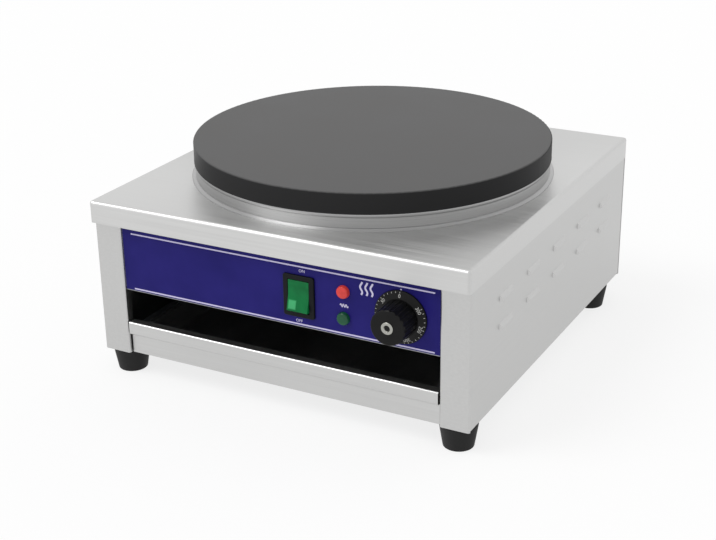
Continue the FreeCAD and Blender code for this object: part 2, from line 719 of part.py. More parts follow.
def heating_element(radius):
    """An open ring of tube whose two ends turn down to their terminals."""
    reach = ELEMENT_TAIL_X + ELEMENT_BEND
    y = tail_y(radius)
    along = unit(V(y, reach, 0))
    ring_end = V(-reach, y, ELEMENT_Z)
    bend = ELEMENT_BEND * math.sqrt(0.5)
    sideways = ring_end + along * ELEMENT_BEND
    turn_middle = ring_end + along * bend - Z * (ELEMENT_BEND - bend)
    turn_end = sideways - Z * ELEMENT_BEND
    tail_end = V(turn_end.x, turn_end.y, SHIELD_TOP - ELEMENT_TAIL)
    left = [Part.LineSegment(tail_end, turn_end), Part.Arc(turn_end, turn_middle, ring_end)]
    right = [Part.Arc(across(ring_end), across(turn_middle), across(turn_end)),
             Part.LineSegment(across(turn_end), across(tail_end))]
    ring = Part.Arc(ring_end, V(0, -radius, ELEMENT_Z), across(ring_end))
    path = Part.Wire([e.toShape() for e in left + [ring] + right])
    section = Part.Wire(Part.makeCircle(ELEMENT_TUBE, tail_end, Z))
    pieces = [path.makePipeShell([section], True, False)]
    for spot in (tail_end, across(tail_end)):
        bead_end = spot - Z * BEAD_LENGTH
        pieces.append(rod(BEAD_RADIUS, spot, bead_end))
        pieces.append(rod(PIN_RADIUS, bead_end, bead_end - Z * PIN_LENGTH))
    return fused(pieces)


def across(spot):
    return V(-spot.x, spot.y, spot.z)


def tail_slots(low, high):
    """The openings that the element ends pass through."""
    half_x = ELEMENT_TAIL_X + ELEMENT_BEND + TAIL_CLEARANCE
    slots = []
    for radius in ELEMENT_RADII:
        near = tail_y(radius) - ELEMENT_TUBE - TAIL_CLEARANCE
        far = tail_y(radius) + ELEMENT_BEND * 0.4 + ELEMENT_TUBE + TAIL_CLEARANCE
        slots.append(box((-half_x, half_x), (near, far), (low, high)))
    return slots


def pierced(shape, low, high):
    """Cut for the element ends, the studs and the capillary."""
    shape = shape.cut(tail_slots(low, high))
    shape = bored(shape, STUD_RADIUS, [V(x, y, low) for x, y in STUDS], Z, high - low)
    return bored(shape, CAPILLARY_RADIUS * 3, [V(CAPILLARY_X, 0, low)], Z, high - low)


def element_clamp():
    """The steel disc that presses the elements against the plate."""
    outer = ELEMENT_RADII[-1] + CLAMP_MARGIN
    disc = rod(outer, V(0, 0, CLAMP_Z), V(0, 0, CLAMP_TOP))
    disc = disc.cut(rod(CLAMP_INNER, V(0, 0, CLAMP_Z - 1), V(0, 0, CLAMP_TOP + 1)))
    return pierced(disc, CLAMP_Z - 1, CLAMP_TOP + 1)


def insulation_pad():
    pad = rod(SHIELD_RADIUS - SHIELD_SHEET - FOLD - SEAM_GAP, V(0, 0, SHIELD_TOP), V(0, 0, CLAMP_Z))
    return pierced(pad, SHIELD_TOP - 1, CLAMP_Z + 1)


def heat_shield():
    """The pan under the insulation."""
    path = [(0, COVER_UNDER), (SHIELD_RADIUS, COVER_UNDER), (SHIELD_RADIUS, COVER_UNDER + SHIELD_RIM)]
    pan = folded(path, SHIELD_SHEET, ORIGIN, X, Z).revolve(ORIGIN, Z, 360)
    return pierced(pan, COVER_UNDER - 1, SHIELD_TOP + 1)


def mounting_strap(y):
    """A channel under the cover's opening that pulls the plate down on its collar."""
    half = math.sqrt(OPENING_RADIUS ** 2 - STRAP_Y ** 2) + STRAP_OVERLAP
    near = y - STRAP_WIDTH / 2
    far = y + STRAP_WIDTH / 2
    low = COVER_UNDER - STRAP_FLANGE
    path = [(far, low), (far, COVER_UNDER), (near, COVER_UNDER), (near, low)]
    strap = folded(path, STRAP_SHEET, V(-half, 0, 0), Y, Z).extrude(X * (2 * half))
    return bored(strap, STUD_RADIUS, [V(sx * STUD_X, y, COVER_UNDER) for sx in (-1, 1)], Z, STRAP_SHEET * 2)


def plate_studs():
    low = STRAP_UNDER - STUD_RADIUS * 1.6 - STUD_SPARE
    return [rod(STUD_RADIUS, V(x, y, low), V(x, y, WEB_Z + STUD_DEPTH)) for x, y in STUDS]


def plate_nuts():
    return [nut(STUD_RADIUS, V(x, y, STRAP_UNDER), Z * -1, X) for x, y in STUDS]


# Controls

def switch_housing():
    """A bezel on the panel and a box behind it, hollow for the rocker."""
    half_w = BEZEL_WIDTH / 2
    half_h = BEZEL_HEIGHT / 2
    front = PANEL_FACE - BEZEL_RISE
    corners = [(SWITCH_X + sx * half_w, CONTROL_Z + sz * half_h, 2.5) for sx, sz in RECTANGLE]
    bezel = outline(corners, V(0, front, 0), X, Z).extrude(Y * BEZEL_RISE)
    bezel = bezel.makeFillet(BEZEL_RISE * 0.4, [e for e in bezel.Edges if e.BoundBox.YMax < front + 0.01])
    half_w = SWITCH_WIDTH / 2
    half_h = SWITCH_HEIGHT / 2
    xs = (SWITCH_X - half_w, SWITCH_X + half_w)
    body = box(xs, (PANEL_FACE, PANEL_BACK + SWITCH_DEPTH), (CONTROL_Z - half_h, CONTROL_Z + half_h))
    pieces = [bezel, body]
    for z in (CONTROL_Z - half_h / 2, CONTROL_Z, CONTROL_Z + half_h / 2):
        tabs_y = (PANEL_BACK + SWITCH_DEPTH, PANEL_BACK + SWITCH_DEPTH + PIN_LENGTH)
        for side in (-1, 1):
            x = SWITCH_X + side * SWITCH_WIDTH / 4
            pieces.append(box((x - 0.4, x + 0.4), tabs_y, (z - 3, z + 3)))
    housing = fused(pieces)
    gap_w = ROCKER_WIDTH / 2 + ROCKER_GAP
    gap_h = rocker_reach() + ROCKER_GAP
    well_y = (front - 1, PIVOT_Y + rocker_depth() + ROCKER_GAP)
    well = box((SWITCH_X - gap_w, SWITCH_X + gap_w), well_y, (CONTROL_Z - gap_h, CONTROL_Z + gap_h))
    pins = rod(ROCKER_PIN + SHAFT_FIT, V(SWITCH_X - half_w, PIVOT_Y, CONTROL_Z), V(SWITCH_X + half_w, PIVOT_Y, CONTROL_Z))
    return housing.cut([well, pins])


RECTANGLE = ((-1, -1), (1, -1), (1, 1), (-1, 1))


def rocker_reach():
    """How far the rocker's front corner swings up or down from its pivot."""
    tilt = math.radians(ROCKER_TILT)
    return ROCKER_HEIGHT / 2 * math.cos(tilt) + ROCKER_FRONT * math.sin(tilt)


def rocker_depth():
    """How far the rocker's back corner swings in behind its pivot."""
    tilt = math.radians(ROCKER_TILT)
    return ROCKER_BACK * math.cos(tilt) + ROCKER_HEIGHT / 2 * math.sin(tilt)


def power_rocker():
    """A rocker with a shallow valley across its front, resting with its upper end pressed in."""
    half = ROCKER_HEIGHT / 2
    corners = [(ROCKER_BACK, -half + 2, 1), (ROCKER_BACK, half - 2, 1), (-ROCKER_FRONT, half, 1),
               (-ROCKER_VALLEY, 0, 20), (-ROCKER_FRONT, -half, 1)]
    start = V(SWITCH_X - ROCKER_WIDTH / 2, PIVOT_Y, CONTROL_Z)
    body = outline(corners, start, Y, Z).extrude(X * ROCKER_WIDTH)
    reach = SWITCH_WIDTH / 2 - ROCKER_GAP
    pins = rod(ROCKER_PIN, V(SWITCH_X - reach, PIVOT_Y, CONTROL_Z), V(SWITCH_X + reach, PIVOT_Y, CONTROL_Z))
    rocker = fused([body, pins])
    rocker.rotate(V(SWITCH_X, PIVOT_Y, CONTROL_Z), X, -ROCKER_TILT)
    return rocker


def lamp_lens(place):
    """A domed lens with a stem through the panel."""
    edge = LENS_RISE * 0.25
    corners = [(0, 0, 0), (LENS_RADIUS, 0, 0), (LENS_RADIUS, edge, 0), (LENS_RADIUS * 0.9, LENS_RISE, LENS_RISE * 0.45),
               (0, LENS_RISE, 0)]
    dome = turned(corners, place, Y * -1, X)
    return fused([dome, rod(LENS_STEM, place, place + Y * LENS_STEM_LENGTH)])


def lamp_holder(place):
    """The lamp's case behind the panel, with its two terminals."""
    front = V(place.x, PANEL_BACK, place.z)
    back = front + Y * HOLDER_LENGTH
    case = rod(HOLDER_RADIUS, front, back)
    case = case.cut(rod(LENS_STEM + HOLE_GAP, front - Y, place + Y * (LENS_STEM_LENGTH + HOLE_GAP)))
    tabs = []
    for side in (-1, 1):
        x = place.x + side * HOLDER_RADIUS / 2
        tabs.append(box((x - 0.4, x + 0.4), (back.y, back.y + PIN_LENGTH), (place.z - 2, place.z + 2)))
    return fused([case] + tabs)


def thermostat_body():
    """A case behind the panel with its bush, its pressure capsule and its terminals."""
    half_w = THERMOSTAT_WIDTH / 2
    half_h = THERMOSTAT_HEIGHT / 2
    xs = (KNOB_X - half_w, KNOB_X + half_w)
    case = box(xs, (PANEL_BACK, PANEL_BACK + THERMOSTAT_DEPTH), (CONTROL_Z - half_h, CONTROL_Z + half_h))
    case = case.makeFillet(2, [e for e in case.Edges if e.BoundBox.YLength > 1])
    centre = V(KNOB_X, PANEL_BACK, CONTROL_Z)
    bush = rod(BUSH_RADIUS, V(KNOB_X, PANEL_FACE, CONTROL_Z), centre)
    back = centre + Y * THERMOSTAT_DEPTH
    capsule = rod(CAPSULE_RADIUS, back, back + Y * CAPSULE_DEPTH)
    tabs = []
    for side in (-1, 1):
        x = KNOB_X + side * (half_w - 3)
        tabs.append(box((x - 0.4, x + 0.4), (back.y, back.y + PIN_LENGTH), (CONTROL_Z - 3, CONTROL_Z + 3)))
    body = fused([case, bush, capsule] + tabs)
    bore_end = centre + Y * (SHAFT_IN_BODY + SHAFT_FIT)
    body = body.cut(rod(SHAFT_RADIUS + SHAFT_FIT, V(KNOB_X, PANEL_FACE - 1, CONTROL_Z), bore_end))
    return bored(body, SCREW_RADIUS, thermostat_screw_places(), Y, SCREW_LENGTH + SHEET)


def thermostat_screws():
    return [pan_screw(SCREW_RADIUS, SCREW_LENGTH, V(p.x, PANEL_FACE, p.z), Y) for p in thermostat_screw_places()]


def thermostat_shaft():
    """A round shaft with a flat where the knob grips it."""
    start = V(KNOB_X, PANEL_BACK + SHAFT_IN_BODY, CONTROL_Z)
    end = V(KNOB_X, KNOB_BACK - SHAFT_IN_KNOB, CONTROL_Z)
    shaft = rod(SHAFT_RADIUS, start, end)
    return shaft.cut(shaft_flat(0))


def shaft_flat(gap):
    """What the flat takes off the shaft's far end."""
    z = CONTROL_Z + SHAFT_RADIUS - SHAFT_FLAT + gap
    ys = (KNOB_BACK - SHAFT_IN_KNOB - 1, KNOB_BACK)
    return box((KNOB_X - SHAFT_RADIUS - 1, KNOB_X + SHAFT_RADIUS + 1), ys, (z, CONTROL_Z + SHAFT_RADIUS + 1))


def thermostat_knob():
    """A moulded knob with a dial skirt, a fluted grip and a hollow back."""
    base = GRIP_RADIUS + GRIP_TAPER
    corners = [(0, 0, 0), (DIAL_RADIUS, 0, 0), (DIAL_RADIUS, DIAL_EDGE, DIAL_EDGE * 0.5), (base + 1, DIAL_RISE, 0),
               (base, DIAL_RISE, 0), (GRIP_RADIUS, KNOB_HEIGHT, KNOB_ROUND), (0, KNOB_HEIGHT, 0)]
    back = V(KNOB_X, KNOB_BACK, CONTROL_Z)
    front = back - Y * KNOB_HEIGHT
    knob = turned(corners, back, Y * -1, X)
    flutes = []
    for i in range(FLUTES):
        angle = math.radians(360 / FLUTES * i)
        outwards = X * math.cos(angle) + Z * math.sin(angle)
        foot_of_flute = back + outwards * (base + FLUTE_RADIUS - FLUTE_DEPTH) - Y * (DIAL_RISE + 0.8)
        head_of_flute = front + outwards * (GRIP_RADIUS + FLUTE_RADIUS - FLUTE_DEPTH) - Y
        flutes.append(rod(FLUTE_RADIUS, foot_of_flute, head_of_flute))
    knob = knob.cut(flutes)
    cavity = rod(GRIP_RADIUS - KNOB_WALL, back, back - Y * KNOB_CAVITY)
    keep = [rod(KNOB_HUB_RADIUS, back, back - Y * KNOB_CAVITY)]
    for i in range(KNOB_RIBS):
        web = box((KNOB_X, KNOB_X + GRIP_RADIUS), (back.y - KNOB_CAVITY, back.y),
                  (CONTROL_Z - KNOB_RIB / 2, CONTROL_Z + KNOB_RIB / 2))
        web.rotate(V(KNOB_X, 0, CONTROL_Z), Y, 360 / KNOB_RIBS * (i + 0.5))
        keep.append(web)
    knob = knob.cut(cavity.cut(keep))
    knob = knob.cut(screw_head_room(back))
    bore = rod(SHAFT_RADIUS + SHAFT_FIT, back, back - Y * SHAFT_IN_KNOB).cut(shaft_flat(SHAFT_FIT))
    seat = rod(CAP_RADIUS + HOLE_GAP, front, front + Y * CAP_DEPTH)
    return knob.cut([bore, seat])


def screw_head_room(back):
    """A ring inside the knob's back that passes over the thermostat's screw heads."""
    half = THERMOSTAT_SCREW_PITCH / 2
    room = SCREW_RADIUS * 1.9 + KNOB_GAP
    depth = HEAD_HEIGHT + KNOB_GAP
    ring = rod(half + room, back, back - Y * depth)
    return ring.cut(rod(half - room, back, back - Y * depth))


def knob_cap():
    """The bright disc let into the front of the knob."""
    seat = V(KNOB_X, KNOB_FRONT + CAP_DEPTH, CONTROL_Z)
    rise = CAP_DEPTH + CAP_RISE
    corners = [(0, 0, 0), (CAP_RADIUS, 0, 0), (CAP_RADIUS, rise, CAP_RISE * 0.8), (CAP_RADIUS * 0.55, rise, 0.3),
               (CAP_RADIUS * 0.45, rise - CAP_RISE, 0.3), (0, rise - CAP_RISE, 0)]
    return turned(corners, seat, Y * -1, X)


def thermostat_bulb():
    """The bulb under the plate and the thin tube from it to the thermostat."""
    bulb_z = WEB_Z - SEAT_GAP - BULB_RADIUS
    bulb_end = V(CAPILLARY_X - CAPILLARY_BEND * 2, 0, bulb_z)
    bulb = rod(BULB_RADIUS, bulb_end - X * BULB_LENGTH, bulb_end)
    port = V(KNOB_X, PANEL_BACK + THERMOSTAT_DEPTH + CAPSULE_DEPTH, CONTROL_Z + CAPSULE_RADIUS / 2)
    turn_z = (port.z + COVER_UNDER) / 2
    route = [bulb_end, V(CAPILLARY_X, 0, bulb_z), V(CAPILLARY_X, 0, turn_z), V(KNOB_X, port.y + CAPILLARY_RUN, port.z), port]
    return fused([bulb, tube(route, CAPILLARY_RADIUS, CAPILLARY_BEND)])


def bulb_clips():
    """Two saddles that hold the bulb against the plate."""
    centre_z = WEB_Z - SEAT_GAP - BULB_RADIUS
    inner = BULB_RADIUS + SEAT_GAP
    outer = inner + CLIP_SHEET
    middle = CAPILLARY_X - CAPILLARY_BEND * 2 - BULB_LENGTH / 2
    clips = []
    for side in (-1, 1):
        start = middle + side * BULB_LENGTH / 4 - CLIP_WIDTH / 2
        xs = (start, start + CLIP_WIDTH)
        saddle = rod(outer, V(start, 0, centre_z), V(start + CLIP_WIDTH, 0, centre_z))
        walls = box(xs, (-outer, outer), (centre_z, WEB_Z))
        hollow = rod(inner, V(start - 1, 0, centre_z), V(start + CLIP_WIDTH + 1, 0, centre_z))
        space = box((start - 1, start + CLIP_WIDTH + 1), (-inner, inner), (centre_z, WEB_Z + 1))
        ears = box(xs, (-outer - CLIP_EAR, outer + CLIP_EAR), (WEB_Z - CLIP_SHEET, WEB_Z))
        above = box((start - 1, start + CLIP_WIDTH + 1), (-outer, outer), (WEB_Z, WEB_Z + outer * 2))
        clips.append(fused([saddle, walls, ears]).cut([hollow, space, above]))
    return clips


# Drawer

def drawer_front():
    """One folded sheet with a proud lip along its top to pull by."""
    side = POST_X - DRAWER_SIDE_GAP
    lip_z = DRAWER_TOP - LIP_HEIGHT
    lip_back = FRONT_Y + LIP_DEPTH
    path = [(lip_back, DRAWER_TOP - LIP_HEM - FOLD - SHEET), (lip_back, DRAWER_TOP), (FRONT_Y, DRAWER_TOP),
            (FRONT_Y, lip_z), (DRAWER_FACE_Y, lip_z), (DRAWER_FACE_Y, FOOT_HEIGHT)]
    return folded(path, SHEET, V(-side, 0, 0), Y, Z).extrude(X * (2 * side))


def drawer_pan():
    """A shallow pan with side rims that slide in the runners and a stop tab on each."""
    outer = box((-PAN_X, PAN_X), (PAN_FRONT_Y, PAN_BACK_Y), (PAN_Z, PAN_TOP))
    outer = outer.makeFillet(PAN_CORNER, [e for e in outer.Edges if pan_edge(e, PAN_Z, PAN_FRONT_Y)])
    inner = box((-PAN_X + SHEET, PAN_X - SHEET), (PAN_FRONT_Y + SHEET, PAN_BACK_Y - SHEET),
                (PAN_Z + SHEET, PAN_TOP + PAN_CORNER))
    inner = inner.makeFillet(PAN_CORNER - SHEET, [e for e in inner.Edges if pan_edge(e, PAN_Z + SHEET, PAN_FRONT_Y)])
    pan = outer.cut(inner)
    rim = box((PAN_X - SHEET, RIM_X), (PAN_FRONT_Y + PAN_CORNER, PAN_BACK_Y - PAN_CORNER), (PAN_TOP - SHEET, PAN_TOP))
    tab_y = RUNNER_Y + STOP_EAR + DRAWER_TRAVEL + SLIDE_GAP
    tab_x = (PAN_X - SHEET, stop_x() - SLIDE_GAP)
    tab = box(tab_x, (tab_y, tab_y + SHEET), (PAN_TOP - SHEET, PAN_TOP + STOP_TAB))
    return fused([pan] + both_sides(rim) + both_sides(tab))


def pan_edge(edge, floor, front):
    """The edges along the pan's floor and the upright corners."""
    bounds = edge.BoundBox
    return bounds.ZLength > 1 or bounds.ZMax < floor + 0.01


def stop_x():
    """Where the runner's lip begins, seen from the middle."""
    return RUNNER_X + SHEET - RUNNER_LIP


def runner_right():
    """A rail with a foot on the base, a wall and a lip over the pan's rim, its front end a stop."""
    outer_x = RUNNER_X + SHEET
    path = [(outer_x + RUNNER_FOOT, BASE_TOP + SHEET), (outer_x, BASE_TOP + SHEET), (outer_x, LIP_Z + SHEET),
            (stop_x(), LIP_Z + SHEET)]
    rail = folded(path, SHEET, V(0, RUNNER_Y, 0), X, Z).extrude(Y * (RUNNER_END_Y - RUNNER_Y))
    ear = box((PAN_X, stop_x() + SHEET), (RUNNER_Y, RUNNER_Y + STOP_EAR), (LIP_Z, LIP_Z + SHEET))
    rail = fused([rail, ear])
    return bored(rail, RIVET_RADIUS, runner_rivet_places(), Z, SHEET * 3)


def runner_rivets():
    rivets = [rivet(p, p - Z * (SHEET + BASE_SHEET)) for p in runner_rivet_places()]
    return rivets + [mirrored(r) for r in rivets]


# Supply side

def cable_gland():
    """The gland's body: a flange outside, a thread through the back panel and its bore."""
    face = gland_centre() + Y * SHEET
    outer = face + Y * (GLAND_REACH - SHEET)
    flange = hexagon(GLAND_FLANGE * math.sqrt(3), GLAND_FLANGE_LENGTH, face, Y, X)
    thread = rod(GLAND_THREAD, face - Y * (SHEET * 2 + GLAND_INSIDE), outer - Y * 3)
    body = fused([flange, thread])
    return body.cut(rod(GLAND_BORE, face - Y * 100, outer + Y))


def gland_cap():
    """The clamping nut that closes on the cable."""
    start = gland_centre() + Y * (SHEET + GLAND_FLANGE_LENGTH)
    length = GLAND_REACH - SHEET - GLAND_FLANGE_LENGTH + COVER_SHEET
    corners = [(GLAND_THREAD + HOLE_GAP, 0, 0), (GLAND_CAP_RADIUS, 0, 0.6),
               (GLAND_CAP_RADIUS, length * 0.6, 2), (GLAND_THREAD, length, 1.5), (GLAND_BORE, length, 0),
               (GLAND_BORE, length - 2, 0), (GLAND_THREAD + HOLE_GAP, length - 2, 0)]
    return turned(corners, start, Y, X)


def gland_nut():
    inside = gland_centre() - Y * 0
    body = hexagon(GLAND_THREAD * 3, 4, inside, Y * -1, X)
    return body.cut(rod(GLAND_THREAD + HOLE_GAP, inside + Y, inside - Y * 6))


def terminal_centre():
    return V(TERMINAL_X, BACK_Y - TERMINAL_BACK, PANEL_Z)


def terminal_block():
    """A ceramic block with an entry each side of each pole and a screw above each entry."""
    centre = terminal_centre()
    half_w = TERMINAL_PITCH * TERMINAL_POLES / 2
    half_d = TERMINAL_DEPTH / 2
    block = box((centre.x - half_w, centre.x + half_w), (centre.y - half_d, centre.y + half_d),
                (centre.z, centre.z + TERMINAL_HEIGHT))
    block = block.makeFillet(1.5, [e for e in block.Edges if e.BoundBox.ZMin > centre.z + 1])
    for x in pole_xs():
        entry = V(x, centre.y, centre.z + TERMINAL_HEIGHT * 0.4)
        reach = Y * (half_d + 1)
        depth = Y * (half_d * 0.7)
        block = block.cut([rod(TERMINAL_ENTRY, entry - reach, entry - reach + depth),
                           rod(TERMINAL_ENTRY, entry + reach - depth, entry + reach)])
        wells = [rod(TERMINAL_ENTRY, p, p + Z * TERMINAL_HEIGHT) for p in screw_wells(x)]
        block = block.cut(wells)
    return block


def pole_xs():
    half = (TERMINAL_POLES - 1) / 2
    return [TERMINAL_X + TERMINAL_PITCH * (i - half) for i in range(TERMINAL_POLES)]


def screw_wells(x):
    centre = terminal_centre()
    z = centre.z + TERMINAL_HEIGHT * 0.75
    return [V(x, centre.y + side * TERMINAL_DEPTH / 4, z) for side in (-1, 1)]


def terminal_screws():
    return [rod(TERMINAL_ENTRY - SEAT_GAP, p, p + Z * 2.5) for x in pole_xs() for p in screw_wells(x)]


def earth_terminal():
    """A stud through the shelf with a nut above and below the sheet."""
    place = earth_place()
    stud = rod(EARTH_RADIUS, place - Z * (SHEET + EARTH_RADIUS * 2), place + Z * EARTH_HEIGHT)
    upper = nut(EARTH_RADIUS, place, Z, X)
    lower = nut(EARTH_RADIUS, place - Z * SHEET, Z * -1, X)
    return [stud, upper, lower]


# Writing the pieces

def pieces():
    """Every piece by its name; a list is a group of separate solids."""
    right_panel = right_side_panel()
    right_runner = runner_right()
    made = {
        "top_cover": top_cover(),
        "right_side_panel": right_panel,
        "left_side_panel": mirrored(right_panel),
        "back_panel": back_panel(),
        "base_panel": base_panel(),
        "compartment_shelf": compartment_shelf(),
        "control_panel": control_panel(),
        "panel_overlay": panel_overlay(),
        "back_screws": back_screws(),
        "cover_screws": cover_screws(),
        "panel_rivets": panel_rivets(),
        "foot_screws": foot_screws(),
        "foot_nuts": foot_nuts(),
        "griddle_plate": griddle_plate(),
        "plate_collar": plate_collar(),
        "collar_screws": collar_screws(),
        "collar_nuts": collar_nuts(),
        "element_clamp": element_clamp(),
        "insulation_pad": insulation_pad(),
        "heat_shield": heat_shield(),
        "front_strap": mounting_strap(-STRAP_Y),
        "rear_strap": mounting_strap(STRAP_Y),
        "plate_studs": plate_studs(),
        "plate_nuts": plate_nuts(),
        "switch_housing": switch_housing(),
        "power_rocker": power_rocker(),
        "thermostat_body": thermostat_body(),
        "thermostat_screws": thermostat_screws(),
        "thermostat_shaft": thermostat_shaft(),
        "thermostat_knob": thermostat_knob(),
        "knob_cap": knob_cap(),
        "thermostat_bulb": thermostat_bulb(),
        "bulb_clips": bulb_clips(),
        "drawer_front": drawer_front(),
        "drawer_pan": drawer_pan(),
        "right_runner": right_runner,
        "left_runner": mirrored(right_runner),
        "runner_rivets": runner_rivets(),
        "cable_gland": cable_gland(),
        "gland_cap": gland_cap(),
        "gland_nut": gland_nut(),
        "terminal_block": terminal_block(),
        "terminal_screws": terminal_screws(),
        "earth_terminal": earth_terminal(),
    }
    for name, place in zip(("foot_front_left", "foot_rear_left", "foot_front_right", "foot_rear_right"), foot_places()):
        made[name] = foot().translated(place)
    for name, radius in zip(("inner_element", "middle_element", "outer_element"), ELEMENT_RADII):
        made[name] = heating_element(radius)
    for name, place in zip(("red", "green"), lamp_places()):
        made[name + "_lamp_lens"] = lamp_lens(place)
        made[name + "_lamp_holder"] = lamp_holder(place)
    return made


def main():
    os.makedirs("parts", exist_ok=True)
    for name, shape in pieces().items():
        if isinstance(shape, list):
            shape = Part.makeCompound(shape)
        shape.exportStep(os.path.join("parts", name + ".step"))
        print(name, len(shape.Solids), shape.isValid(), round(shape.Volume, 1))


main()
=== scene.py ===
import math
import bmesh
import bpy
from mathutils import Matrix, Vector


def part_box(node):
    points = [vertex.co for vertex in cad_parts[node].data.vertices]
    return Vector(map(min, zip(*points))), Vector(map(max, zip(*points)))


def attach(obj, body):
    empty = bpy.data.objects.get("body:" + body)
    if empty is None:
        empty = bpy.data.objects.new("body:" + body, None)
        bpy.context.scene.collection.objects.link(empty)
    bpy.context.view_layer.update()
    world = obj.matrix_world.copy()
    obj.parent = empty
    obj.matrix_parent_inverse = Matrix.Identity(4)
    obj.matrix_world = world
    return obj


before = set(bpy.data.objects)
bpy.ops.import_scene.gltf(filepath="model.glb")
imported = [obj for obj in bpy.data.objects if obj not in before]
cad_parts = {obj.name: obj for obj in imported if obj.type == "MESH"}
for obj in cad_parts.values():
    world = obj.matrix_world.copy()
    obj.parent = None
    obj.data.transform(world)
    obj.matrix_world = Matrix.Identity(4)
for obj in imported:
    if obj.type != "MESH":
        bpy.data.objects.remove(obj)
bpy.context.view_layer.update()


# The table and the light. A pale sheet runs under the maker, a broad soft sun shines from its
# front left, and the camera stands where the photograph was taken.

azimuth = math.radians(28.298)
elevation = math.radians(22.703)
roll = math.radians(-0.8554)
lens_aim = Vector((0.0355, -0.10485, 0.123))
lens_distance = 1.5579
focal_pixels = 1439.44
picture_pixels = 716
back = Vector((math.sin(azimuth) * math.cos(elevation),
               -math.cos(azimuth) * math.cos(elevation),
               math.sin(elevation)))
right = Vector((math.cos(azimuth), math.sin(azimuth), 0))
up = back.cross(right)
turned_right = right * math.cos(roll) + up * math.sin(roll)
turned_up = up * math.cos(roll) - right * math.sin(roll)
camera_data = bpy.data.cameras.new("camera")
camera_data.sensor_width = 36
camera_data.lens = focal_pixels * camera_data.sensor_width / picture_pixels
camera = bpy.data.objects.new("camera", camera_data)
bpy.context.scene.collection.objects.link(camera)
facing = Matrix((turned_right, turned_up, back)).transposed().to_4x4()
camera.matrix_world = Matrix.Translation(lens_aim + back * lens_distance) @ facing
bpy.context.scene.camera = camera
bpy.context.scene.view_settings.view_transform = "Standard"


def blank_material(name):
    material = bpy.data.materials.new(name)
    material.use_nodes = True
    material.node_tree.nodes.clear()
    return material


def node(owner, kind, x, y, **settings):
    """A node in the tree of a material or of the world."""
    made = owner.node_tree.nodes.new(kind)
    made.location = (x, y)
    for key, value in settings.items():
        setattr(made, key, value)
    return made


def wire(owner, source, target):
    owner.node_tree.links.new(source, target)


def plain_surface(material, colour, roughness, metallic=0.0):
    """A shader with its output, which the finishes build on."""
    shader = node(material, "ShaderNodeBsdfPrincipled", 300, 0)
    shader.inputs["Base Color"].default_value = (*colour, 1)
    shader.inputs["Roughness"].default_value = roughness
    shader.inputs["Metallic"].default_value = metallic
    output = node(material, "ShaderNodeOutputMaterial", 600, 0)
    wire(material, shader.outputs["BSDF"], output.inputs["Surface"])
    return shader


# The paper shines by itself where it is seen straight or in a reflection, and takes shadows with
# the rest of it. To everything else it is plain paper.

paper_shine = 0.78
sheet_reach = 6.0
sheet_corners = [(x * sheet_reach, y * sheet_reach, 0)
                 for x, y in ((-1, -1), (1, -1), (1, 1), (-1, 1))]
sheet_mesh = bpy.data.meshes.new("table_sheet")
sheet_mesh.from_pydata(sheet_corners, [], [(0, 1, 2, 3)])
table_sheet = bpy.data.objects.new("table_sheet", sheet_mesh)
bpy.context.scene.collection.objects.link(table_sheet)
paper = blank_material("pale_paper")
paper_shader = plain_surface(paper, (0.97, 0.97, 0.97), 0.9)
paper_shader.inputs["Specular IOR Level"].default_value = 0.0
paper_light = node(paper, "ShaderNodeEmission", 300, -500)
paper_light.inputs["Strength"].default_value = 1.0
paper_paths = node(paper, "ShaderNodeLightPath", -300, -300)
paper_seen = node(paper, "ShaderNodeMath", -100, -300, operation="MAXIMUM")
paper_share = node(paper, "ShaderNodeMath", 100, -300, operation="MULTIPLY")
paper_share.inputs[1].default_value = paper_shine
paper_mix = node(paper, "ShaderNodeMixShader", 500, -200)
wire(paper, paper_paths.outputs["Is Camera Ray"], paper_seen.inputs[0])
wire(paper, paper_paths.outputs["Is Glossy Ray"], paper_seen.inputs[1])
wire(paper, paper_seen.outputs[0], paper_share.inputs[0])
wire(paper, paper_share.outputs[0], paper_mix.inputs["Fac"])
wire(paper, paper_shader.outputs["BSDF"], paper_mix.inputs[1])
wire(paper, paper_light.outputs["Emission"], paper_mix.inputs[2])
wire(paper, paper_mix.outputs["Shader"], paper.node_tree.nodes["Material Output"].inputs["Surface"])
sheet_mesh.materials.append(paper)

# The world is white where it is seen, reflected or looked at through something, and lights the
# scene with a little less.

world = bpy.data.worlds.new("studio")
bpy.context.scene.world = world
world.use_nodes = True
sky = world.node_tree.nodes["Background"]
sky.inputs["Color"].default_value = (1, 1, 1, 1)
paths = node(world, "ShaderNodeLightPath", -900, 0)
seen = node(world, "ShaderNodeMath", -700, 0, operation="MAXIMUM")
seen_or_through = node(world, "ShaderNodeMath", -500, 0, operation="MAXIMUM")
level = node(world, "ShaderNodeMapRange", -300, 0)
level.inputs["To Min"].default_value = 0.74
level.inputs["To Max"].default_value = 1.0
wire(world, paths.outputs["Is Camera Ray"], seen.inputs[0])
wire(world, paths.outputs["Is Glossy Ray"], seen.inputs[1])
wire(world, seen.outputs[0], seen_or_through.inputs[0])
wire(world, paths.outputs["Is Transmission Ray"], seen_or_through.inputs[1])
wire(world, seen_or_through.outputs[0], level.inputs["Value"])
wire(world, level.outputs["Result"], sky.inputs["Strength"])

lamp_data = bpy.data.lights.new("soft_lamp", "SUN")
lamp_data.energy = 1.05
lamp_data.angle = math.radians(32)
lamp = bpy.data.objects.new("soft_lamp", lamp_data)
bpy.context.scene.collection.objects.link(lamp)
lamp.rotation_euler = Vector((-0.62, -0.55, 1.0)).to_track_quat("Z", "Y").to_euler()


# How finishes are made. A noise pattern fixed to the piece goes through a ramp of colours, a range
# of roughness or a bump. The pattern keeps mostly between these two values.

noise_low = 0.3
noise_high = 0.7


def dress(material, *names):
    """Puts a finish on CAD nodes."""
    for name in names:
        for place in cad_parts[name].material_slots:
            place.material = material


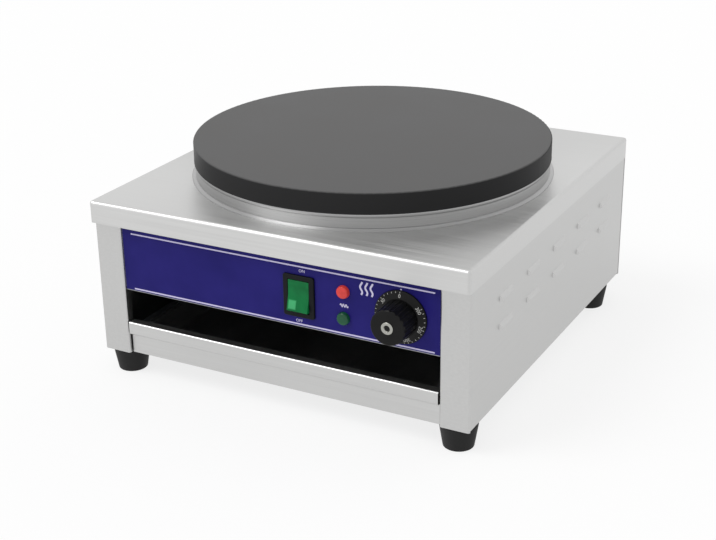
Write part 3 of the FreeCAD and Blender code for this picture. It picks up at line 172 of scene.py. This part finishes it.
def object_noise(material, scale, detail, stretch=(1, 1, 1), y=0):
    """A noise pattern fixed to the piece, stretched along its axes."""
    place = node(material, "ShaderNodeTexCoord", -1300, y)
    mapping = node(material, "ShaderNodeMapping", -1100, y)
    mapping.inputs["Scale"].default_value = stretch
    noise = node(material, "ShaderNodeTexNoise", -900, y)
    noise.inputs["Scale"].default_value = scale
    noise.inputs["Detail"].default_value = detail
    wire(material, place.outputs["Object"], mapping.inputs["Vector"])
    wire(material, mapping.outputs["Vector"], noise.inputs["Vector"])
    return noise.outputs["Fac"]


def shade(material, factor, low, high, target, dark=noise_low, bright=noise_high, x=-500):
    """Sends a pattern through a ramp between two colours into a socket."""
    ramp = node(material, "ShaderNodeValToRGB", x, 0)
    ramp.color_ramp.elements[0].position = dark
    ramp.color_ramp.elements[0].color = (*low, 1)
    ramp.color_ramp.elements[1].position = bright
    ramp.color_ramp.elements[1].color = (*high, 1)
    wire(material, factor, ramp.inputs["Fac"])
    wire(material, ramp.outputs["Color"], target)


def spread(material, factor, low, high, target):
    """Sends a pattern through a range of numbers into a socket."""
    span = node(material, "ShaderNodeMapRange", -500, -300)
    span.inputs["From Min"].default_value = noise_low
    span.inputs["From Max"].default_value = noise_high
    span.inputs["To Min"].default_value = low
    span.inputs["To Max"].default_value = high
    wire(material, factor, span.inputs["Value"])
    wire(material, span.outputs["Result"], target)


def emboss(material, factor, depth, strength, shader):
    """Turns a pattern into bumps of a depth in metres."""
    bump = node(material, "ShaderNodeBump", 0, -500)
    bump.inputs["Strength"].default_value = strength
    bump.inputs["Distance"].default_value = depth
    wire(material, factor, bump.inputs["Height"])
    wire(material, bump.outputs["Normal"], shader.inputs["Normal"])


def moulded(name, colour, roughness, grain, mottling=1.25, shine=0.5):
    """Moulded plastic or rubber: one colour, faintly mottled, with a fine grain."""
    lift = 0.003
    sway = 0.12
    material = blank_material(name)
    shader = plain_surface(material, colour, roughness)
    shader.inputs["Specular IOR Level"].default_value = shine
    broad = object_noise(material, scale=45, detail=3)
    paler = tuple(min(1, c * mottling + lift) for c in colour)
    shade(material, broad, colour, paler, shader.inputs["Base Color"])
    spread(material, broad, roughness * (1 - sway), min(1, roughness * (1 + sway)),
           shader.inputs["Roughness"])
    fine = object_noise(material, scale=2600, detail=2, y=-500)
    emboss(material, fine, depth=0.00006, strength=grain, shader=shader)
    return material


def brushed(name, colour, roughness, stretch, streak=0.05):
    """Brushed metal: long fine streaks over broad handling marks."""
    smear_share = 0.35
    sway = 0.2
    material = blank_material(name)
    shader = plain_surface(material, colour, roughness, metallic=1.0)
    streaks = object_noise(material, scale=1.0, detail=5, stretch=stretch)
    smears = object_noise(material, scale=7, detail=3, y=-400)
    both = node(material, "ShaderNodeMix", -650, 0, data_type="FLOAT")
    both.inputs["Factor"].default_value = smear_share
    wire(material, streaks, both.inputs["A"])
    wire(material, smears, both.inputs["B"])
    low = tuple(c * (1 - streak) for c in colour)
    high = tuple(min(1, c * (1 + streak)) for c in colour)
    shade(material, both.outputs["Result"], low, high, shader.inputs["Base Color"])
    spread(material, both.outputs["Result"], roughness * (1 - sway), roughness * (1 + sway),
           shader.inputs["Roughness"])
    emboss(material, streaks, depth=0.00005, strength=0.35, shader=shader)
    return material


def stretch_reflections(material, amount):
    """Draws a finish's reflections out away from the plate's axis, across its fine lines."""
    quarter_turn = 0.25
    shader = material.node_tree.nodes["Principled BSDF"]
    shader.inputs["Anisotropic"].default_value = amount
    shader.inputs["Anisotropic Rotation"].default_value = quarter_turn


# The feet. Moulded black rubber, tapered, each held up by one screw from inside its recess.
# The rubber is matt and faintly mottled, with a fine grain.

foot_rubber = moulded("foot_rubber", (0.006, 0.006, 0.006), 0.62, 0.5, shine=0.3)
dress(foot_rubber, "foot_front_left", "foot_rear_left", "foot_front_right", "foot_rear_right")


# The housing. Folded stainless sheet about 1 mm thick, brushed along its length before folding:
# two side walls with pressed louvres, a back, and a plain plated base and shelf inside.
# A brushed pattern changes slowly along the axis that it is named for.

along_y = (260, 4, 420)
along_x = (4, 260, 420)
side_steel = brushed("side_steel", (0.56, 0.56, 0.555), 0.36, along_y)
back_steel = brushed("back_steel", (0.55, 0.55, 0.545), 0.34, along_x)
plated_steel = brushed("plated_steel", (0.36, 0.37, 0.38), 0.42, (60, 60, 60), 0.12)
dress(side_steel, "left_side_panel", "right_side_panel")
dress(back_steel, "back_panel")
dress(plated_steel, "base_panel", "compartment_shelf")


# The top cover. One tray of the same stainless sheet with rounded folds, brushed from side to
# side, open in the middle under the plate and screwed to the side walls at the back.

cover_steel = brushed("cover_steel", (0.60, 0.60, 0.595), 0.36, along_x)
stretch_reflections(cover_steel, 0.8)
dress(cover_steel, "top_cover")


# The screws, studs, nuts and rivets. Bright plated steel with a faint mottling. The screws have
# round heads with one slot, the rivets plain round heads.

bright_steel = brushed("bright_steel", (0.6, 0.6, 0.6), 0.25, (90, 90, 90), 0.1)
dress(bright_steel, "back_screws", "cover_screws", "panel_rivets", "foot_screws", "foot_nuts",
      "collar_screws", "collar_nuts", "plate_studs", "plate_nuts", "thermostat_screws",
      "runner_rivets")


# The collar. A spun stainless ring with a small foot flange, which carries the plate.
# Its spinning lines run round it. A thin bead at its foot and one at its top bend keep the lines
# where it meets its neighbours smooth.

collar_steel = brushed("collar_steel", (0.39, 0.39, 0.39), 0.34, (5, 5, 900), 0.08)
stretch_reflections(collar_steel, 0.8)
dress(collar_steel, "plate_collar")


def ring_bead(name, radius, level, profile, finish):
    """A smooth ring round the plate's axis.

    Its profile steps outwards from a radius and up from a level.
    """
    steps = 256
    corners = len(profile)
    points = []
    faces = []
    for i in range(steps):
        angle = 2 * math.pi * i / steps
        here = i * corners
        following = (i + 1) % steps * corners
        for j, (out, rise) in enumerate(profile):
            k = (j + 1) % corners
            x = (radius + out) * math.cos(angle)
            y = (radius + out) * math.sin(angle)
            points.append((x, y, level + rise))
            faces.append((here + j, here + k, following + k, following + j))
    mesh = bpy.data.meshes.new(name)
    mesh.from_pydata(points, [], faces)
    mesh.polygons.foreach_set("use_smooth", [True] * len(faces))
    shape = bmesh.new()
    shape.from_mesh(mesh)
    bmesh.ops.recalc_face_normals(shape, faces=shape.faces)
    shape.to_mesh(mesh)
    shape.free()
    mesh.materials.append(finish)
    piece = bpy.data.objects.new(name, mesh)
    bpy.context.scene.collection.objects.link(piece)
    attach(piece, "housing")


collar_low, collar_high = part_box("plate_collar")
collar_radius = (collar_high[0] - collar_low[0]) / 2
foot_profile = ((-0.0006, 0.0026), (0.0003, 0.0024), (0.0013, 0.0018), (0.0024, 0.0009),
                (0.0034, 0.0004), (0.0040, 0.00005), (-0.0006, 0.00005))
ring_bead("collar_foot_bead", collar_radius, collar_low[2], foot_profile, collar_steel)
bend_profile = ((-0.0006, -0.0040), (0.00015, -0.0039), (0.00015, -0.0020), (0.00015, -0.0002),
                (-0.0004, 0.0006))
ring_bead("collar_top_bead", collar_radius, collar_high[2], bend_profile, collar_steel)


# The griddle plate. Machined cast iron, turned flat and seasoned to a dull grey-black, paler on
# its face than round its side, partly painted sheen. Fine tool rings run round its axis under
# broad patches of seasoning, and a thin bead keeps its lower edge smooth.

iron_low, iron_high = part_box("griddle_plate")
iron_radius = (iron_high[0] - iron_low[0]) / 2
side_ends = iron_high[2] - 0.0014
face_starts = iron_high[2] - 0.0002
seasoned_iron = blank_material("seasoned_iron")
iron_shader = plain_surface(seasoned_iron, (0.05, 0.05, 0.05), 0.42)
iron_shader.inputs["Specular IOR Level"].default_value = 0.06
patches = object_noise(seasoned_iron, scale=9, detail=4)
iron_place = node(seasoned_iron, "ShaderNodeTexCoord", -1300, -700)
iron_axes = node(seasoned_iron, "ShaderNodeSeparateXYZ", -900, 400)
on_face = node(seasoned_iron, "ShaderNodeMapRange", -700, 400)
on_face.inputs["From Min"].default_value = side_ends
on_face.inputs["From Max"].default_value = face_starts
# The face's grey is partly the seasoned iron's own colour and partly painted sheen: it is lighter
# than the side to stand in for the reflection on the face.
face_mix = node(seasoned_iron, "ShaderNodeMix", 50, 300, data_type="RGBA")
face_mix.inputs["A"].default_value = (0.0230, 0.0230, 0.0236, 1)
shade(seasoned_iron, patches, (0.098, 0.098, 0.099), (0.113, 0.112, 0.111), face_mix.inputs["B"])
wire(seasoned_iron, iron_place.outputs["Object"], iron_axes.inputs["Vector"])
wire(seasoned_iron, iron_axes.outputs["Z"], on_face.inputs["Value"])
wire(seasoned_iron, on_face.outputs["Result"], face_mix.inputs["Factor"])
wire(seasoned_iron, face_mix.outputs["Result"], iron_shader.inputs["Base Color"])
spread(seasoned_iron, patches, 0.38, 0.48, iron_shader.inputs["Roughness"])
flatten = node(seasoned_iron, "ShaderNodeVectorMath", -1100, -700, operation="MULTIPLY")
flatten.inputs[1].default_value = (1, 1, 0)
from_axis = node(seasoned_iron, "ShaderNodeVectorMath", -900, -700, operation="LENGTH")
tool_rings = node(seasoned_iron, "ShaderNodeTexNoise", -700, -700, noise_dimensions="1D")
tool_rings.inputs["Scale"].default_value = 900
tool_rings.inputs["Detail"].default_value = 2
wire(seasoned_iron, iron_place.outputs["Object"], flatten.inputs[0])
wire(seasoned_iron, flatten.outputs["Vector"], from_axis.inputs[0])
wire(seasoned_iron, from_axis.outputs["Value"], tool_rings.inputs["W"])
emboss(seasoned_iron, tool_rings.outputs["Fac"], depth=0.00006, strength=0.35, shader=iron_shader)
dress(seasoned_iron, "griddle_plate")
rim_profile = ((-0.0010, 0.0014), (-0.00002, 0.0014), (0.00012, 0.0010), (0.00010, 0.0005),
               (-0.0001, 0.0001), (-0.0005, -0.0001), (-0.0012, -0.0002), (-0.0018, 0.0008))
ring_bead("plate_rim_bead", iron_radius, collar_high[2], rim_profile, seasoned_iron)


# The heating parts. Three steel-sheathed elements, blued by heat, are pressed to the plate by a
# steel disc, over a pad of pale ceramic fibre in a sheet pan, and two channels pull it all down.

blued_sheath = brushed("blued_sheath", (0.20, 0.185, 0.17), 0.4, (40, 40, 40), 0.25)
fibre = moulded("ceramic_fibre", (0.68, 0.65, 0.56), 0.95, 1.0, 1.1)
copper_tube = brushed("copper_tube", (0.62, 0.42, 0.28), 0.32, (50, 50, 50), 0.15)
dress(blued_sheath, "inner_element", "middle_element", "outer_element")
dress(fibre, "insulation_pad")
dress(plated_steel, "element_clamp", "heat_shield", "front_strap", "rear_strap", "bulb_clips")
dress(copper_tube, "thermostat_bulb")


# The control panel. A folded stainless channel set back between the posts, under a printed skin:
# dark blue with a pale line near its top and its bottom edge.

panel_steel = brushed("panel_steel", (0.5, 0.5, 0.5), 0.34, along_x)
dress(panel_steel, "control_panel")
line_width = 0.0016
line_levels = (0.1060, 0.1697)
line_middle = 0.0025
line_reach = 0.1795
blue_skin = blank_material("blue_skin")
skin_shader = plain_surface(blue_skin, (0.014, 0.010, 0.140), 0.36)
skin_shader.inputs["Specular IOR Level"].default_value = 0.1
skin_colour = node(blue_skin, "ShaderNodeMix", 50, 300, data_type="RGBA")
skin_colour.inputs["B"].default_value = (0.62, 0.58, 0.80, 1)
cloud = object_noise(blue_skin, scale=30, detail=3)
shade(blue_skin, cloud, (0.012, 0.009, 0.128), (0.017, 0.013, 0.158), skin_colour.inputs["A"])
skin_place = node(blue_skin, "ShaderNodeTexCoord", -1500, 400)
skin_axes = node(blue_skin, "ShaderNodeSeparateXYZ", -1300, 400)
wire(blue_skin, skin_place.outputs["Object"], skin_axes.inputs["Vector"])
along_line = node(blue_skin, "ShaderNodeMath", -1100, 600, operation="COMPARE")
along_line.inputs[1].default_value = line_middle
along_line.inputs[2].default_value = line_reach
wire(blue_skin, skin_axes.outputs["X"], along_line.inputs[0])
either = node(blue_skin, "ShaderNodeMath", -900, 400, operation="MAXIMUM")
for i, line_z in enumerate(line_levels):
    near = node(blue_skin, "ShaderNodeMath", -1100, 400, operation="COMPARE")
    near.inputs[1].default_value = line_z
    near.inputs[2].default_value = line_width / 2
    wire(blue_skin, skin_axes.outputs["Z"], near.inputs[0])
    wire(blue_skin, near.outputs[0], either.inputs[i])
printed = node(blue_skin, "ShaderNodeMath", -700, 400, operation="MULTIPLY")
wire(blue_skin, either.outputs[0], printed.inputs[0])
wire(blue_skin, along_line.outputs[0], printed.inputs[1])
wire(blue_skin, printed.outputs[0], skin_colour.inputs["Factor"])
wire(blue_skin, skin_colour.outputs["Result"], skin_shader.inputs["Base Color"])
skin_grain = object_noise(blue_skin, scale=1800, detail=2, y=-600)
emboss(blue_skin, skin_grain, depth=0.00004, strength=0.3, shader=skin_shader)
dress(blue_skin, "panel_overlay")


# The power switch. A black moulded housing snapped into the panel with a clear green rocker in
# it, which has a painted highlight near its lower left corner, made as a glow. The painted
# highlight has the shape of a blurred rectangle: its scale is one over half its width and height.

black_mould = moulded("black_mould", (0.002, 0.003, 0.004), 0.42, 0.4, shine=0.15)
dress(black_mould, "switch_housing")
# The painted highlight: the rocker glows in its emission colour only in this patch near its lower
# left corner.
painted_highlight_centre = (0.0242, -0.2255, 0.1285)
painted_highlight_scale = (225, 0, 215)
green_clear = blank_material("green_clear")
green_shader = plain_surface(green_clear, (0.003, 0.150, 0.040), 0.24)
green_shader.inputs["Specular IOR Level"].default_value = 0.14
green_shader.inputs["Emission Color"].default_value = (0.22, 0.95, 0.45, 1)
green_cloud = object_noise(green_clear, scale=60, detail=2)
shade(green_clear, green_cloud, (0.002, 0.110, 0.030), (0.004, 0.170, 0.046),
      green_shader.inputs["Base Color"])
green_place = node(green_clear, "ShaderNodeTexCoord", -1300, -700)
highlight_offset = node(green_clear, "ShaderNodeVectorMath", -1100, -700, operation="SUBTRACT")
highlight_offset.inputs[1].default_value = painted_highlight_centre
highlight_shape = node(green_clear, "ShaderNodeVectorMath", -900, -700, operation="MULTIPLY")
highlight_shape.inputs[1].default_value = painted_highlight_scale
highlight_extent = node(green_clear, "ShaderNodeVectorMath", -800, -700, operation="ABSOLUTE")
highlight_axes = node(green_clear, "ShaderNodeSeparateXYZ", -700, -700)
highlight_reach = node(green_clear, "ShaderNodeMath", -600, -700, operation="MAXIMUM")
highlight_fall = node(green_clear, "ShaderNodeMapRange", -500, -700)
highlight_fall.inputs["From Min"].default_value = 0.8
highlight_fall.inputs["From Max"].default_value = 1.1
highlight_fall.inputs["To Min"].default_value = 0.24
highlight_fall.inputs["To Max"].default_value = 0.0
wire(green_clear, green_place.outputs["Object"], highlight_offset.inputs[0])
wire(green_clear, highlight_offset.outputs["Vector"], highlight_shape.inputs[0])
wire(green_clear, highlight_shape.outputs["Vector"], highlight_extent.inputs[0])
wire(green_clear, highlight_extent.outputs["Vector"], highlight_axes.inputs["Vector"])
wire(green_clear, highlight_axes.outputs["X"], highlight_reach.inputs[0])
wire(green_clear, highlight_axes.outputs["Z"], highlight_reach.inputs[1])
wire(green_clear, highlight_reach.outputs[0], highlight_fall.inputs["Value"])
wire(green_clear, highlight_fall.outputs["Result"], green_shader.inputs["Emission Strength"])
dress(green_clear, "power_rocker")


# The signal lamps. Clear coloured lenses with domed fronts, red above and green below, pressed
# into black cases behind the panel. The red one is lit.

def lens(name, colour, glow):
    """A coloured lens with a fine ripple that scatters the light behind it."""
    material = blank_material(name)
    shader = plain_surface(material, colour, 0.16)
    shader.inputs["Specular IOR Level"].default_value = 0.25
    shader.inputs["Coat Weight"].default_value = 0.12
    shader.inputs["Coat Roughness"].default_value = 0.1
    shader.inputs["Emission Color"].default_value = (*colour, 1)
    shader.inputs["Emission Strength"].default_value = glow
    darkening = 0.75
    inner = object_noise(material, scale=160, detail=1)
    darker = tuple(c * darkening for c in colour)
    shade(material, inner, darker, colour, shader.inputs["Base Color"])
    ripple = object_noise(material, scale=700, detail=0, y=-500)
    emboss(material, ripple, depth=0.0002, strength=0.4, shader=shader)
    return material


red_clear = lens("red_clear", (0.58, 0.045, 0.038), 0.24)
dull_green_clear = lens("dull_green_clear", (0.008, 0.085, 0.036), 0.05)
dress(red_clear, "red_lamp_lens")
dress(dull_green_clear, "green_lamp_lens")
dress(black_mould, "red_lamp_holder", "green_lamp_holder")


# The thermostat knob. Black moulding with a fluted grip on a dial skirt, a bright cap let into
# its front with a dark spot in the middle, and pale numbers and marks printed round the skirt.
# It turns on a flatted shaft.

knob_black = moulded("knob_black", (0.002, 0.002, 0.002), 0.36, 0.35, shine=0.18)
shaft_steel = brushed("shaft_steel", (0.6, 0.6, 0.6), 0.22, (80, 80, 80))
dress(black_mould, "thermostat_body")
dress(knob_black, "thermostat_knob")
dress(shaft_steel, "thermostat_shaft")

cap_low, cap_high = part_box("knob_cap")
knob_axis = Vector(((cap_low[0] + cap_high[0]) / 2, 0, (cap_low[2] + cap_high[2]) / 2))
spot_ends = 0.0028
ring_starts = 0.0032
bright_cap = blank_material("bright_cap")
cap_shader = plain_surface(bright_cap, (0.8, 0.8, 0.8), 0.14, 1.0)
cap_place = node(bright_cap, "ShaderNodeTexCoord", -1300, 0)
cap_shift = node(bright_cap, "ShaderNodeVectorMath", -1100, 0, operation="SUBTRACT")
cap_shift.inputs[1].default_value = knob_axis
cap_flat = node(bright_cap, "ShaderNodeVectorMath", -900, 0, operation="MULTIPLY")
cap_flat.inputs[1].default_value = (1, 0, 1)
cap_radius = node(bright_cap, "ShaderNodeVectorMath", -700, 0, operation="LENGTH")
wire(bright_cap, cap_place.outputs["Object"], cap_shift.inputs[0])
wire(bright_cap, cap_shift.outputs["Vector"], cap_flat.inputs[0])
wire(bright_cap, cap_flat.outputs["Vector"], cap_radius.inputs[0])
in_ring = node(bright_cap, "ShaderNodeMapRange", -520, 200)
in_ring.inputs["From Min"].default_value = spot_ends
in_ring.inputs["From Max"].default_value = ring_starts
wire(bright_cap, cap_radius.outputs["Value"], in_ring.inputs["Value"])
shade(bright_cap, in_ring.outputs["Result"], (0.02, 0.02, 0.02), (0.40, 0.40, 0.37),
      cap_shader.inputs["Base Color"], dark=0.0, bright=1.0, x=-300)
cap_polish = object_noise(bright_cap, scale=90, detail=2, y=-500)
spread(bright_cap, cap_polish, 0.2, 0.3, cap_shader.inputs["Roughness"])
dress(bright_cap, "knob_cap")

white_print = moulded("white_print", (0.46, 0.46, 0.44), 0.5, 0.2, 1.05)


def ring_tree():
    """Blocks spread evenly round a line that runs along Y, each leaning by a tilt."""
    tree = bpy.data.node_groups.new("blocks_round_an_axis", "GeometryNodeTree")
    sockets = (("Geometry", "NodeSocketGeometry", "INPUT"),
               ("Geometry", "NodeSocketGeometry", "OUTPUT"),
               ("Count", "NodeSocketInt", "INPUT"), ("Step", "NodeSocketFloat", "INPUT"),
               ("Start", "NodeSocketFloat", "INPUT"), ("Block", "NodeSocketVector", "INPUT"),
               ("Out", "NodeSocketVector", "INPUT"), ("Tilt", "NodeSocketVector", "INPUT"),
               ("Centre", "NodeSocketVector", "INPUT"), ("Finish", "NodeSocketMaterial", "INPUT"))
    for label, kind, way in sockets:
        tree.interface.new_socket(name=label, in_out=way, socket_type=kind)
    made = tree.nodes
    link = tree.links.new
    given = made.new("NodeGroupInput")
    result = made.new("NodeGroupOutput")
    block = made.new("GeometryNodeMeshCube")
    lean = made.new("GeometryNodeTransform")
    spots = made.new("GeometryNodeMeshLine")
    spots.inputs["Offset"].default_value = (0, 0, 0)
    number = made.new("GeometryNodeInputIndex")
    turn = made.new("ShaderNodeMath")
    turn.operation = "MULTIPLY_ADD"
    angle = made.new("ShaderNodeCombineXYZ")
    place = made.new("GeometryNodeInstanceOnPoints")
    real = made.new("GeometryNodeRealizeInstances")
    shift = made.new("GeometryNodeTransform")
    coat = made.new("GeometryNodeSetMaterial")
    link(given.outputs["Block"], block.inputs["Size"])
    link(block.outputs["Mesh"], lean.inputs["Geometry"])
    link(given.outputs["Out"], lean.inputs["Translation"])
    link(given.outputs["Tilt"], lean.inputs["Rotation"])
    link(given.outputs["Count"], spots.inputs["Count"])
    link(number.outputs["Index"], turn.inputs[0])
    link(given.outputs["Step"], turn.inputs[1])
    link(given.outputs["Start"], turn.inputs[2])
    link(turn.outputs[0], angle.inputs["Y"])
    link(spots.outputs["Mesh"], place.inputs["Points"])
    link(lean.outputs["Geometry"], place.inputs["Instance"])
    link(angle.outputs["Vector"], place.inputs["Rotation"])
    link(place.outputs["Instances"], shift.inputs["Geometry"])
    link(given.outputs["Centre"], shift.inputs["Translation"])
    link(shift.outputs["Geometry"], real.inputs["Geometry"])
    link(real.outputs["Geometry"], coat.inputs["Geometry"])
    link(given.outputs["Finish"], coat.inputs["Material"])
    link(coat.outputs["Geometry"], result.inputs["Geometry"])
    return tree


blocks_round = ring_tree()


def ring_of_blocks(name, body, **values):
    """A plain mesh of blocks round an axis, which rides on a body."""
    piece = bpy.data.objects.new(name, bpy.data.meshes.new(name))
    bpy.context.scene.collection.objects.link(piece)
    modifier = piece.modifiers.new("blocks", "NODES")
    modifier.node_group = blocks_round
    for socket in blocks_round.interface.items_tree:
        if socket.in_out == "INPUT" and socket.name in values:
            modifier[socket.identifier] = values[socket.name]
    ready = piece.evaluated_get(bpy.context.evaluated_depsgraph_get())
    mesh = bpy.data.meshes.new_from_object(ready)
    piece.modifiers.remove(modifier)
    piece.data = mesh
    mesh.name = name
    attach(piece, body)


# The dial is a flat cone. Its outer edge lies in front of the back of the knob by edge_height,
# and its marks and numbers are inset from that edge. At rest the 0 is under the pointer.

knob_low, knob_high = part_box("thermostat_knob")
knob_back = knob_high[1]
dial_radius = (knob_high[0] - knob_low[0]) / 2
cone_rise = 0.0026
cone_width = 0.0079
dial_slope = math.atan2(cone_rise, cone_width)
edge_height = 0.0016
tick_inset = 0.0017
number_inset = 0.0051
print_depth = 0.00006
pointer_angle = 90
scale_end = 300
tick_step = 10
number_step = 50
tick_block = (0.0016, 0.00022, 0.00050)
tick_radius = dial_radius - tick_inset
tick_rise = edge_height + tick_inset * math.tan(dial_slope)
ring_of_blocks("dial_marks", "knob", Count=scale_end // tick_step + 1,
               Step=math.radians(-tick_step), Start=math.radians(-pointer_angle),
               Block=tick_block, Out=(tick_radius, -tick_rise, 0), Tilt=(0, 0, dial_slope),
               Centre=(knob_axis.x, knob_back, knob_axis.z), Finish=white_print)


def print_text(words, height, place, finish):
    """A flat printed word as a mesh, laid where its matrix says."""
    size_for_height = 1.42
    curve = bpy.data.curves.new("print", "FONT")
    curve.body = words
    curve.size = height * size_for_height
    curve.extrude = print_depth
    curve.resolution_u = 3
    curve.align_x = "CENTER"
    curve.align_y = "CENTER"
    holder = bpy.data.objects.new("print", curve)
    bpy.context.scene.collection.objects.link(holder)
    ready = holder.evaluated_get(bpy.context.evaluated_depsgraph_get())
    mesh = bpy.data.meshes.new_from_object(ready)
    bpy.data.objects.remove(holder)
    mesh.materials.clear()
    mesh.materials.append(finish)
    mesh.transform(place)
    return mesh


def joined(name, body, meshes):
    """One piece from several meshes of one finish."""
    vertices = []
    faces = []
    for mesh in meshes:
        base = len(vertices)
        vertices.extend([tuple(v.co) for v in mesh.vertices])
        faces.extend([tuple(base + i for i in f.vertices) for f in mesh.polygons])
    whole = bpy.data.meshes.new(name)
    whole.from_pydata(vertices, [], faces)
    whole.materials.append(meshes[0].materials[0])
    piece = bpy.data.objects.new(name, whole)
    bpy.context.scene.collection.objects.link(piece)
    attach(piece, body)


number_height = 0.0037
number_radius = dial_radius - number_inset
number_rise = edge_height + number_inset * math.tan(dial_slope) + print_depth
dial_middle = Vector((knob_axis.x, knob_back - number_rise, knob_axis.z))
digits = []
for number in range(0, scale_end + 1, number_step):
    angle = math.radians(pointer_angle + number)
    outwards = Vector((math.cos(angle), 0, math.sin(angle)))
    normal = Vector((0, -math.cos(dial_slope), 0)) + outwards * math.sin(dial_slope)
    normal.normalize()
    top = (outwards - normal * outwards.dot(normal)).normalized()
    side = top.cross(normal)
    lay = Matrix((side, top, normal)).transposed().to_4x4()
    spot = Matrix.Translation(dial_middle + outwards * number_radius)
    digits.append(print_text(str(number), number_height, spot @ lay, white_print))
joined("dial_numbers", "knob", digits)


# The printed signs on the panel. A plain pointer above the dial, ON and OFF by the switch, a
# coil between the lamps and three warm-air waves beside the dial, in pale ink. Places on the
# panel are given as x and z, and the ink lies just in front of the skin.

pale_ink = moulded("pale_ink", (0.60, 0.57, 0.76), 0.5, 0.2, 1.05)
skin_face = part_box("panel_overlay")[0][1]
word_lift = 0.00005
line_lift = 0.00008
facing_front = Matrix.Rotation(math.radians(90), 4, "X")


def on_skin(x, z):
    return Matrix.Translation((x, skin_face - word_lift, z)) @ facing_front


def ribbon(points, width):
    """A flat printed line through points on the panel."""
    vertices = []
    for i, (x, z) in enumerate(points):
        before = Vector(points[max(i - 1, 0)])
        after = Vector(points[min(i + 1, len(points) - 1)])
        way = (after - before).normalized()
        off = Vector((-way.y, way.x)) * width / 2
        vertices.append((x + off.x, skin_face - line_lift, z + off.y))
        vertices.append((x - off.x, skin_face - line_lift, z - off.y))
    faces = [(2 * i, 2 * i + 1, 2 * i + 3, 2 * i + 2) for i in range(len(points) - 1)]
    mesh = bpy.data.meshes.new("line")
    mesh.from_pydata(vertices, [], faces)
    mesh.materials.append(pale_ink)
    return mesh


word_height = 0.0032
on_place = (0.0340, 0.1652)
off_place = (0.0295, 0.1097)
signs = [print_text("ON", word_height, on_skin(*on_place), pale_ink),
         print_text("OFF", word_height, on_skin(*off_place), pale_ink)]

wave_count = 3
wave_steps = 18
wave_turns = 1.25
wave_swing = 0.0012
wave_height = 0.0140
wave_foot = 0.1525
wave_left = 0.1015
wave_pitch = 0.0058
wave_line = 0.0020
for k in range(wave_count):
    middle = wave_left + wave_pitch * k
    wave = [(middle + wave_swing * math.sin(2 * math.pi * i / wave_steps * wave_turns),
             wave_foot + wave_height * i / wave_steps)
            for i in range(wave_steps + 1)]
    signs.append(ribbon(wave, wave_line))

pointer_top = 0.1672
pointer_foot = 0.1640
pointer_line = 0.0016
pointer = [(knob_axis.x, pointer_top), (knob_axis.x, pointer_foot)]
signs.append(ribbon(pointer, pointer_line))

coil_steps = 30
coil_turns = 3
coil_swing = 0.0016
coil_length = 0.0090
coil_left = 0.0775
coil_level = 0.1368
coil_line = 0.0011
coil = [(coil_left + coil_length * i / coil_steps,
         coil_level + coil_swing * math.sin(2 * math.pi * i / coil_steps * coil_turns))
        for i in range(coil_steps + 1)]
signs.append(ribbon(coil, coil_line))
joined("panel_signs", "housing", signs)


# The drawer. A shallow pan of stainless sheet with a folded front, whose lip is its handle, on
# two plated runners riveted to the base.

drawer_steel = brushed("drawer_steel", (0.58, 0.58, 0.575), 0.33, along_x)
pan_steel = brushed("pan_steel", (0.40, 0.40, 0.40), 0.4, along_y, 0.08)
dress(drawer_steel, "drawer_front")
dress(pan_steel, "drawer_pan")
dress(plated_steel, "right_runner", "left_runner")


# The supply side. A black moulded gland through the back with a ribbed clamping cap, and inside
# a ceramic terminal block and an earth stud, both brass-fitted.

nylon = moulded("nylon", (0.016, 0.016, 0.017), 0.45, 0.4)
ceramic = moulded("plain_ceramic", (0.78, 0.74, 0.67), 0.7, 0.5, 1.05)
brass = brushed("brass_parts", (0.60, 0.46, 0.20), 0.3, (80, 80, 80), 0.1)
dress(nylon, "cable_gland", "gland_cap", "gland_nut")
dress(ceramic, "terminal_block")
dress(brass, "terminal_screws", "earth_terminal")
gland_low, gland_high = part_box("gland_cap")
gland_x = (gland_low[0] + gland_high[0]) / 2
gland_z = (gland_low[2] + gland_high[2]) / 2
gland_radius = (gland_high[0] - gland_low[0]) / 2
rib_count = 20
rib_block = (0.0010, 0.0080, 0.0012)
rib_middle = gland_low[1] + 0.0050
ring_of_blocks("gland_ribs", "housing", Count=rib_count, Step=math.radians(360 / rib_count),
               Start=0.0, Block=rib_block, Out=(gland_radius, 0, 0), Tilt=(0, 0, 0),
               Centre=(gland_x, rib_middle, gland_z), Finish=nylon)
